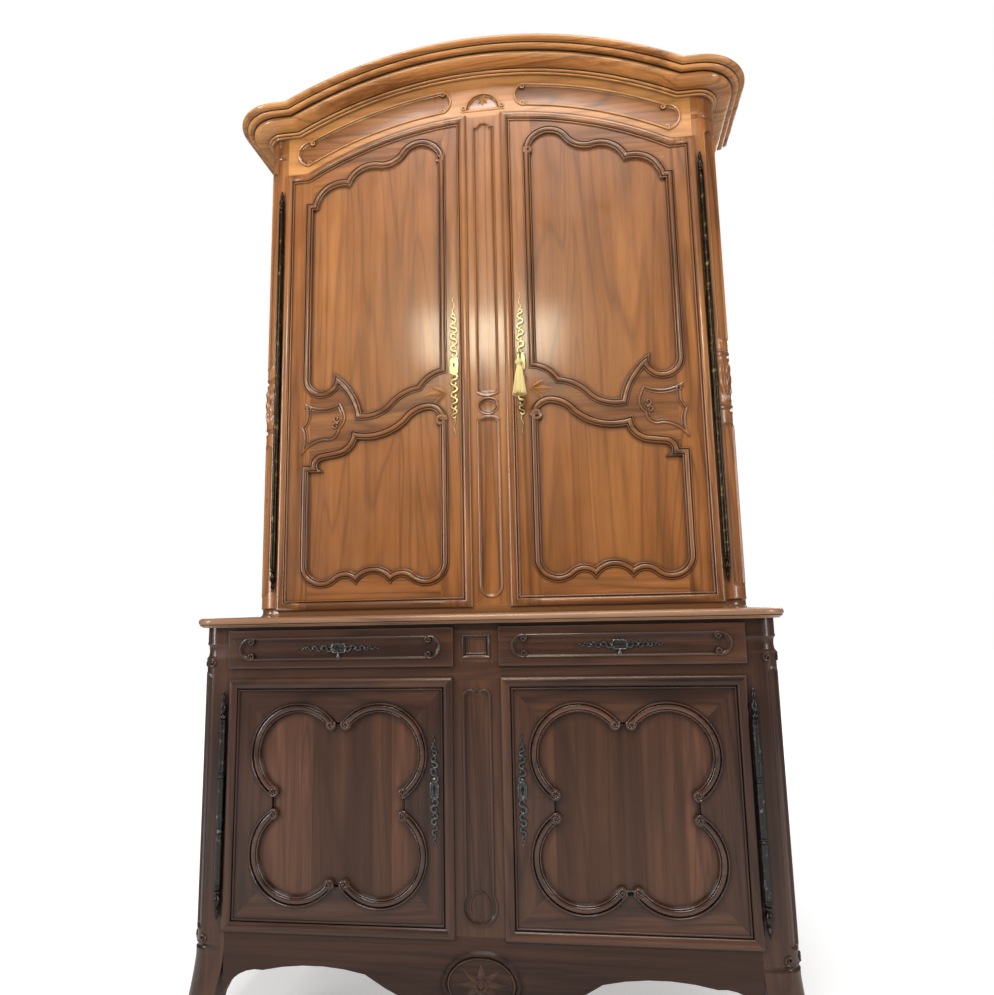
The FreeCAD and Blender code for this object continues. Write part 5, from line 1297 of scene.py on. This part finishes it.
def door_hinge(bm, x, y, low, high, door_out):
    third = (high - low) / 3
    turned(bm, barrel(low + third + PIN_GAP, high - third - PIN_GAP), x, y)
    block(bm, (door_out, x - 4), (y + 7.0, y + BARREL), (low + third + PIN_GAP, high - third - PIN_GAP))


HINGES = {
    "upper": (687.0, UPPER_FACE - 9.0, 1190.0, 2383.0, UPPER_DOOR_OUT),
    "lower": (670.0, LOWER_FACE - 9.0, 370.0, 777.0, LOWER_DOOR_X[1]),
}
for tier, (x, y, low, high, door_out) in HINGES.items():
    iron = hinge_iron if tier == "upper" else rod_iron
    bm = bmesh.new()
    post_hinge(bm, x, y, low, high)
    post_hinge(bm, -x, y, low, high)
    piece(tier + "_hinge_rods", bm, "case", "hinge_iron", [iron], [tier + "_post_hinges"])
    pair(tier + "_{}_hinge_barrel", lambda bm: door_hinge(bm, x, y, low, high, door_out), tier + "_{}_door",
         "hinge_iron", [iron], [tier + "_{}_door_hinge"])

# Pierced keyhole plates


def nail(bm, place, size):
    """A domed nail head, standing forward of the plate."""
    path = [place + FORWARD * depth * size * MM for depth in (0.0, 0.5, 0.85, 1.0)]
    tube(bm, path, [size * part * MM for part in (1.0, 0.88, 0.5, 0.1)], 12, 1.0, UP)


def keyhole_plate(bm, placed, half, wide, hole):
    """A flat plate with a raised rim round it, and a keyhole drawn as a shallow well whose dark floor is
    painted shade.
    """
    bend, out = 0.4, 1.6
    outer, inner, floor = [], [], []
    for turn in circle(40):
        along = copysign(abs(cos(turn)) ** bend, cos(turn))
        aside = copysign(abs(sin(turn)) ** bend, sin(turn))
        outer.append(bm.verts.new(placed(along * half, aside * wide, out)))
        slot = hole * (1.0 if along > -0.2 else 0.6)
        for ring_points, height in ((inner, out), (floor, 0.15)):
            ring_points.append(bm.verts.new(placed(hole * 2.8 * cos(turn), slot * sin(turn), height)))
    join(bm, outer, inner)
    # Painted shade: the keyhole's walls and floor take the second, dark material.
    before = set(bm.faces)
    join(bm, inner, floor)
    bm.faces.new(floor)
    paint(bm, before, 1)
    hoop(bm, [vert.co.copy() for vert in outer], 1.7)


def s_scroll(bm, placed, middle, size, way, thick):
    """One S of the chain: two opposed curls in one tapering ribbon."""
    path, widths = [], []
    for end in (-1, 1):
        half, thin = [], []
        for share in shares(22):
            turn = pi * 1.62 * share
            shrink = 1 - 0.5 * eased((turn - pi / 2) / (pi * 1.1))
            along = size - size * shrink * cos(turn)
            half.append(placed(middle + end * along, end * way * size * shrink * sin(turn), 1.5))
            thin.append(thick * (1 - 0.55 * share) * MM)
        if end < 0:
            path, widths = half[:0:-1], thin[:0:-1]
        else:
            path, widths = path + half, widths + thin
    tube(bm, path, widths, 8, 0.6)


def chain_plate(bm, x, z, y, half_length, level, sizes, plate, thick, wide=13.0):
    """A keyhole plate with a chain of pierced S-scrolls and a wavy tail at both ends."""

    def placed(along, aside, out=0.0):
        if level:
            return spot(x + along, y - out, z + aside)
        return spot(x + aside, y - out, z + along)

    keyhole_plate(bm, placed, plate, wide, 3.8)
    for way in (1, -1):
        here = plate
        for size in sizes:
            s_scroll(bm, placed, way * (here + size * 2), size, way, thick * size / sizes[0])
            nail(bm, placed(way * here, 0.0, 1.2), 2.6)
            here += size * 4
        length = half_length - here
        tail, widths = [], []
        for share in shares(24):
            swing = 3.4 * (1 - 0.5 * share) * sin(pi * 3 * share)
            tail.append(placed(way * (here + length * share), way * swing, 1.2))
            widths.append((2.2 - 1.0 * share) * MM)
        tube(bm, tail, widths, 8, 0.7)


UPPER_LOCK, LOWER_LOCK, LOCK_EDGE = (106.0, 1811.0), (110.0, 609.0), 68.0


def upper_plate(bm):
    level = UPPER_DOOR_FACE + FIELD_DROP
    chain_plate(bm, *UPPER_LOCK, level, 228.0, False, (10.0, 9.6, 9.0, 7.6), 27.0, 4.8)


def lock_case(bm):
    """The lock behind a lower door: a plate, a lid and the end that joins them."""
    rear, z = LOWER_DOOR_FACE + DOOR_THICK, LOWER_LOCK[1]
    for x, y, half in (((7, 71), (0, 4), 46), ((9, 69), (10.4, 20), 44), ((52, 71), (3.5, 11), 46)):
        block(bm, [LOCK_EDGE + part for part in x], [rear + part for part in y], (z - half, z + half), 0.8)


def lower_plate(bm):
    level = LOWER_DOOR_FACE + FIELD_DROP
    chain_plate(bm, *LOWER_LOCK, level, 132.0, False, (8.4, 7.4, 6.0), 19.0, 4.2, 10.0)
    nail(bm, spot(LOWER_LOCK[0], level - 2.0, LOWER_LOCK[1] + 26), 5.0)
    lock_case(bm)


def drawer_plate(bm):
    x, face = sum(DRAWER_X) / 2, LOWER_DOOR_FACE + SINK
    chain_plate(bm, x, DRAWER_MID, face, 109.0, True, (7.0, 6.0, 4.6), 18.0, 3.7, 11.0)
    drop = [spot(x, face - 3.0, DRAWER_MID - fall) for fall in (9.0, 14.0, 18.0, 22.0, 26.0, 28.0)]
    tube(bm, drop, [radius * MM for radius in (1.4, 1.6, 3.6, 4.6, 3.2, 0.6)], 10, 0.7)
    rear = LOWER_DOOR_FACE + DOOR_THICK
    block(bm, (x - 32, x + 32), (rear, rear + 10), (DRAWER_MID - 10, DRAWER_MID + 35), 0.8)


pair("upper_{}_scroll_plate", upper_plate, "upper_{}_door", "brass", [brass, dark_iron],
     ["upper_{}_escutcheon"])
pair("lower_{}_scroll_plate", lower_plate, "lower_{}_door", "dark_iron", [dark_iron, hole_painted_shade],
     ["lower_{}_lock"])
pair("{}_drawer_scroll_plate", drawer_plate, "{}_drawer", "dark_iron", [dark_iron, hole_painted_shade],
     ["{}_drawer_lock"])

# Key and tassel

KEY_X, KEY_Z = UPPER_LOCK
KEY_Y, BOW, BIT, KEY_END = UPPER_DOOR_FACE - 50.0, 18.0, 23.5, 28.0
TASSEL_Y, TASSEL_LENGTH, HEM = UPPER_DOOR_FACE - 60.0, 128.0, 22.0
SLANT = Vector((0.3, -1, 0.2))


def door_key(bm):
    bow = [spot(KEY_X, KEY_Y + BOW + 14.5 * cos(turn), KEY_Z + 14.5 * sin(turn)) for turn in circle(26)]
    hoop(bm, bow, 3.2, 10, 1.0, Vector((1, 0, 0)))
    stem = [(BOW * 1.7, 3.0), (34, 3.0), (35, 4.4), (38, 4.4), (39, 3.0), (KEY_END - KEY_Y, 3.0)]
    neck = [(-6.7, 2.2), (6, 2.2)]
    for rod, sides in ((stem, 16), (neck, 12)):
        places = [spot(KEY_X, KEY_Y + depth, KEY_Z) for depth, radius in rod]
        tube(bm, places, [radius * MM for depth, radius in rod], sides, 1.0, UP)
    block(bm, (KEY_X - 1.2, KEY_X + 1.2), (BIT, KEY_END), (KEY_Z - 12, KEY_Z), 0.3)


def hung(reach, turn, drop):
    """A place on the tassel, round its axis and below the key."""
    return spot(KEY_X + reach * cos(turn), TASSEL_Y + reach * sin(turn), KEY_Z - drop)


def strand(bm, angle, start, end, wide):
    """One hanging thread from the tassel's neck to its hem, as (radius, drop) ends."""
    points = []
    lean = random.uniform(-0.12, 0.12)
    for share in shares(5):
        reach = start[0] + (end[0] - start[0]) * share**0.8
        points.append(hung(reach, angle + lean * share, start[1] + (end[1] - start[1]) * share))
    tube(bm, points, [wide * MM] * len(points), 5, 1.0, SLANT)


def tassel(bm):
    """Three rings of threads on a core, with a twisted head, two windings and a cord."""
    for count, inner, outer in ((44, 6.0, 0.99), (30, 4.4, 0.74), (16, 2.4, 0.4)):
        for number in range(count):
            turn = 2 * pi * (number + random.uniform(-0.3, 0.3)) / count
            hem = (HEM - 1.2) * outer * random.uniform(0.94, 1.0)
            length = TASSEL_LENGTH * random.uniform(0.96, 0.995)
            strand(bm, turn, (inner, TASSEL_LENGTH * 0.3), (hem, length), 1.15)
    core = ((0.5, 36), (5.0, 38), (12.0, 70), (17.0, 116), (0.5, 117))
    turned(bm, [(radius, KEY_Z - drop) for radius, drop in core], KEY_X, TASSEL_Y, 20)
    for turn in circle(14):
        head = [hung(3.2 + 6.6 * sin(pi * share), turn + share * 1.4, 15 + 20 * share) for share in shares(8)]
        tube(bm, head, [1.7 * MM] * len(head), 6, 1.0, SLANT)
    for drop, reach in ((36.0, 5.4), (39.0, 6.2)):
        hoop(bm, [hung(reach, turn, drop) for turn in circle(22)], 1.5, 6, 1.0, UP)
    cord = [hung(0.0, 0.0, drop - 1.5) for drop in (0, 4, 10, 18)]
    tube(bm, cord, [1.6 * MM] * len(cord), 8)


single("door_key", door_key, "key", "dark_iron", [dark_iron], ["key"])
single("silk_tassel", tassel, "tassel", "tassel_silk", [tassel_silk], ["tassel"])

# Every other node: a copy with eased edges, smooth rounds and its own grain

ALONG_X = ("upper_base_rail", "frieze_rail", "apron", "lower_mid_rail", "lower_top_rail", "top_slab",
           "lower_floor", "lower_shelf", "upper_floor", "upper_roof", "upper_shelves", "left_drawer_front",
           "right_drawer_front")
ALONG_Y = ("upper_side_rails", "lower_side_rails", "drawer_runners", "left_drawer_box", "right_drawer_box")
EDGE_EASE, SHARP = 1.0, radians(60)
CARVED = ("apron", "stile", "frieze", "drawer_front", "divider")
woods = {"walnut_upper": upper_wood, "walnut_lower": lower_wood, "inside_wood": inside_wood}
metals = {"brass": brass, "dark_iron": dark_iron, "hinge_iron": hinge_iron, "tassel_silk": tassel_silk}

for node, source in sorted(frame["nodes"].items()):
    if source.hide_render:
        continue
    bm = bmesh.new()
    bm.from_mesh(source.data)
    bmesh.ops.remove_doubles(bm, verts=bm.verts, dist=1e-5)
    if not any(word in node for word in CARVED):
        bmesh.ops.dissolve_limit(bm, angle_limit=radians(0.5), verts=bm.verts, edges=bm.edges)
        sharp = [edge for edge in bm.edges if len(edge.link_faces) == 2 and edge.calc_face_angle() > SHARP]
        bmesh.ops.bevel(bm, geom=sharp, offset=EDGE_EASE * MM, segments=2, affect="EDGES", profile=0.5,
                        clamp_overlap=True)
    slot = slot_of[node]
    if slot in metals:
        material = metals[slot]
    elif "door_panel" in node:
        material = upper_panel_wood if "upper" in node else lower_panel_wood
    elif node == "frieze_rail":
        material = crown_wood_painted_light
        for face in bm.faces:
            level = face.calc_center_median().y / MM
            if abs(face.normal.y) > 0.9 and UPPER_FACE + 1 < level < UPPER_FACE + 12:
                face.material_index = 1
    elif node == "apron":
        material = apron_wood
    else:
        material = woods[slot]["x" if node in ALONG_X else "y" if node in ALONG_Y else "z"]
    piece(node + "_finished", bm, body_of[node], slot, [material, upper_wood["x"]], [node])

# Floor, backdrop, light and camera


def floor_material():
    """A pale floor that keeps the shadow and meets the white backdrop without a line."""
    g = Graph("pale_floor")
    place = g.add("TexCoord").outputs["Object"]
    tone = g.ramp(g.noise(place, 1.4, 2.0), (0.3, 0.86), (0.7, 0.88))
    seen = g.add("LightPath").outputs["Is Camera Ray"]
    away = g.add("VectorMath", {0: place}, operation="LENGTH").outputs["Value"]
    glow = g.times(seen, g.ramp(g.sum("DIVIDE", away, 10.0), (0.08, 0.45), (0.4, 1.0)))
    return g.finish({"Base Color": tone, "Roughness": 0.9, "Specular IOR Level": 0.1,
                     "Emission Color": (1, 1, 1, 1), "Emission Strength": glow})


bm = bmesh.new()
bmesh.ops.create_grid(bm, x_segments=1, y_segments=1, size=14.0)
floor = add_object("floor", bm, [floor_material()])

WORLD_LIGHT = 0.13
studio = Graph("studio", bpy.data.worlds)
rays = studio.add("LightPath").outputs
seen = studio.sum("MAXIMUM", rays["Is Camera Ray"], rays["Is Transmission Ray"])
strength = studio.add("MapRange", {0: seen, 3: WORLD_LIGHT, 4: 1.0}).outputs[0]
backdrop = studio.add("Background", {"Color": (1, 1, 1, 1), "Strength": strength})
studio.put(studio.add("OutputWorld").inputs[0], backdrop.outputs[0])
bpy.context.scene.world = studio.owner


def softbox(name, place, target, size, power, colour=(1, 1, 1)):
    lamp = bpy.data.lights.new(name, "AREA")
    lamp.shape = "RECTANGLE"
    lamp.size, lamp.size_y = size
    lamp.energy = power
    lamp.color = colour
    obj = bpy.data.objects.new(name, lamp)
    obj.location = place
    obj.rotation_euler = (Vector(target) - Vector(place)).to_track_quat("-Z", "Y").to_euler()
    bpy.context.scene.collection.objects.link(obj)


softbox("left_light", (-3.6, -2.5, 2.0), (0, 0, 1.6), (0.6, 2.4), 90)
softbox("right_light", (3.9, -2.3, 2.0), (0, 0, 1.6), (0.5, 2.4), 64)
softbox("top_light", (0.0, -2.6, 5.6), (0, 0, 1.6), (3.0, 1.1), 145)
softbox("back_light", (2.4, 4.4, 3.4), (0, 0, 1.4), (2.0, 2.0), 70)
softbox("front_light", (-0.36, -2.7, 2.95), (0, 0, 1.9), (1.0, 0.34), 28, (1.0, 0.92, 0.7))

CAMERA_PLACE = (0.3002, -2.1768, 1.0537)
LENS, SENSOR = 26.28, 36.0
YAW, PITCH, ROLL = (radians(angle) for angle in (7.318, 8.629, -1.196))
camera_data = bpy.data.cameras.new("camera")
camera_data.sensor_fit = "HORIZONTAL"
camera_data.sensor_width = SENSOR
camera_data.lens = LENS
camera = bpy.data.objects.new("camera", camera_data)
right = Vector((cos(YAW), sin(YAW), 0))
ahead = Vector((-sin(YAW), cos(YAW), 0))
ahead, up = ahead * cos(PITCH) + UP * sin(PITCH), UP * cos(PITCH) - ahead * sin(PITCH)
right, up = right * cos(ROLL) + up * sin(ROLL), up * cos(ROLL) - right * sin(ROLL)
axes = Matrix((right, up, -ahead)).transposed().to_4x4()
camera.matrix_world = Matrix.Translation(CAMERA_PLACE) @ axes
bpy.context.scene.collection.objects.link(camera)
bpy.context.scene.camera = camera
bpy.context.scene.view_settings.view_transform = "Standard"

bpy.context.view_layer.update()
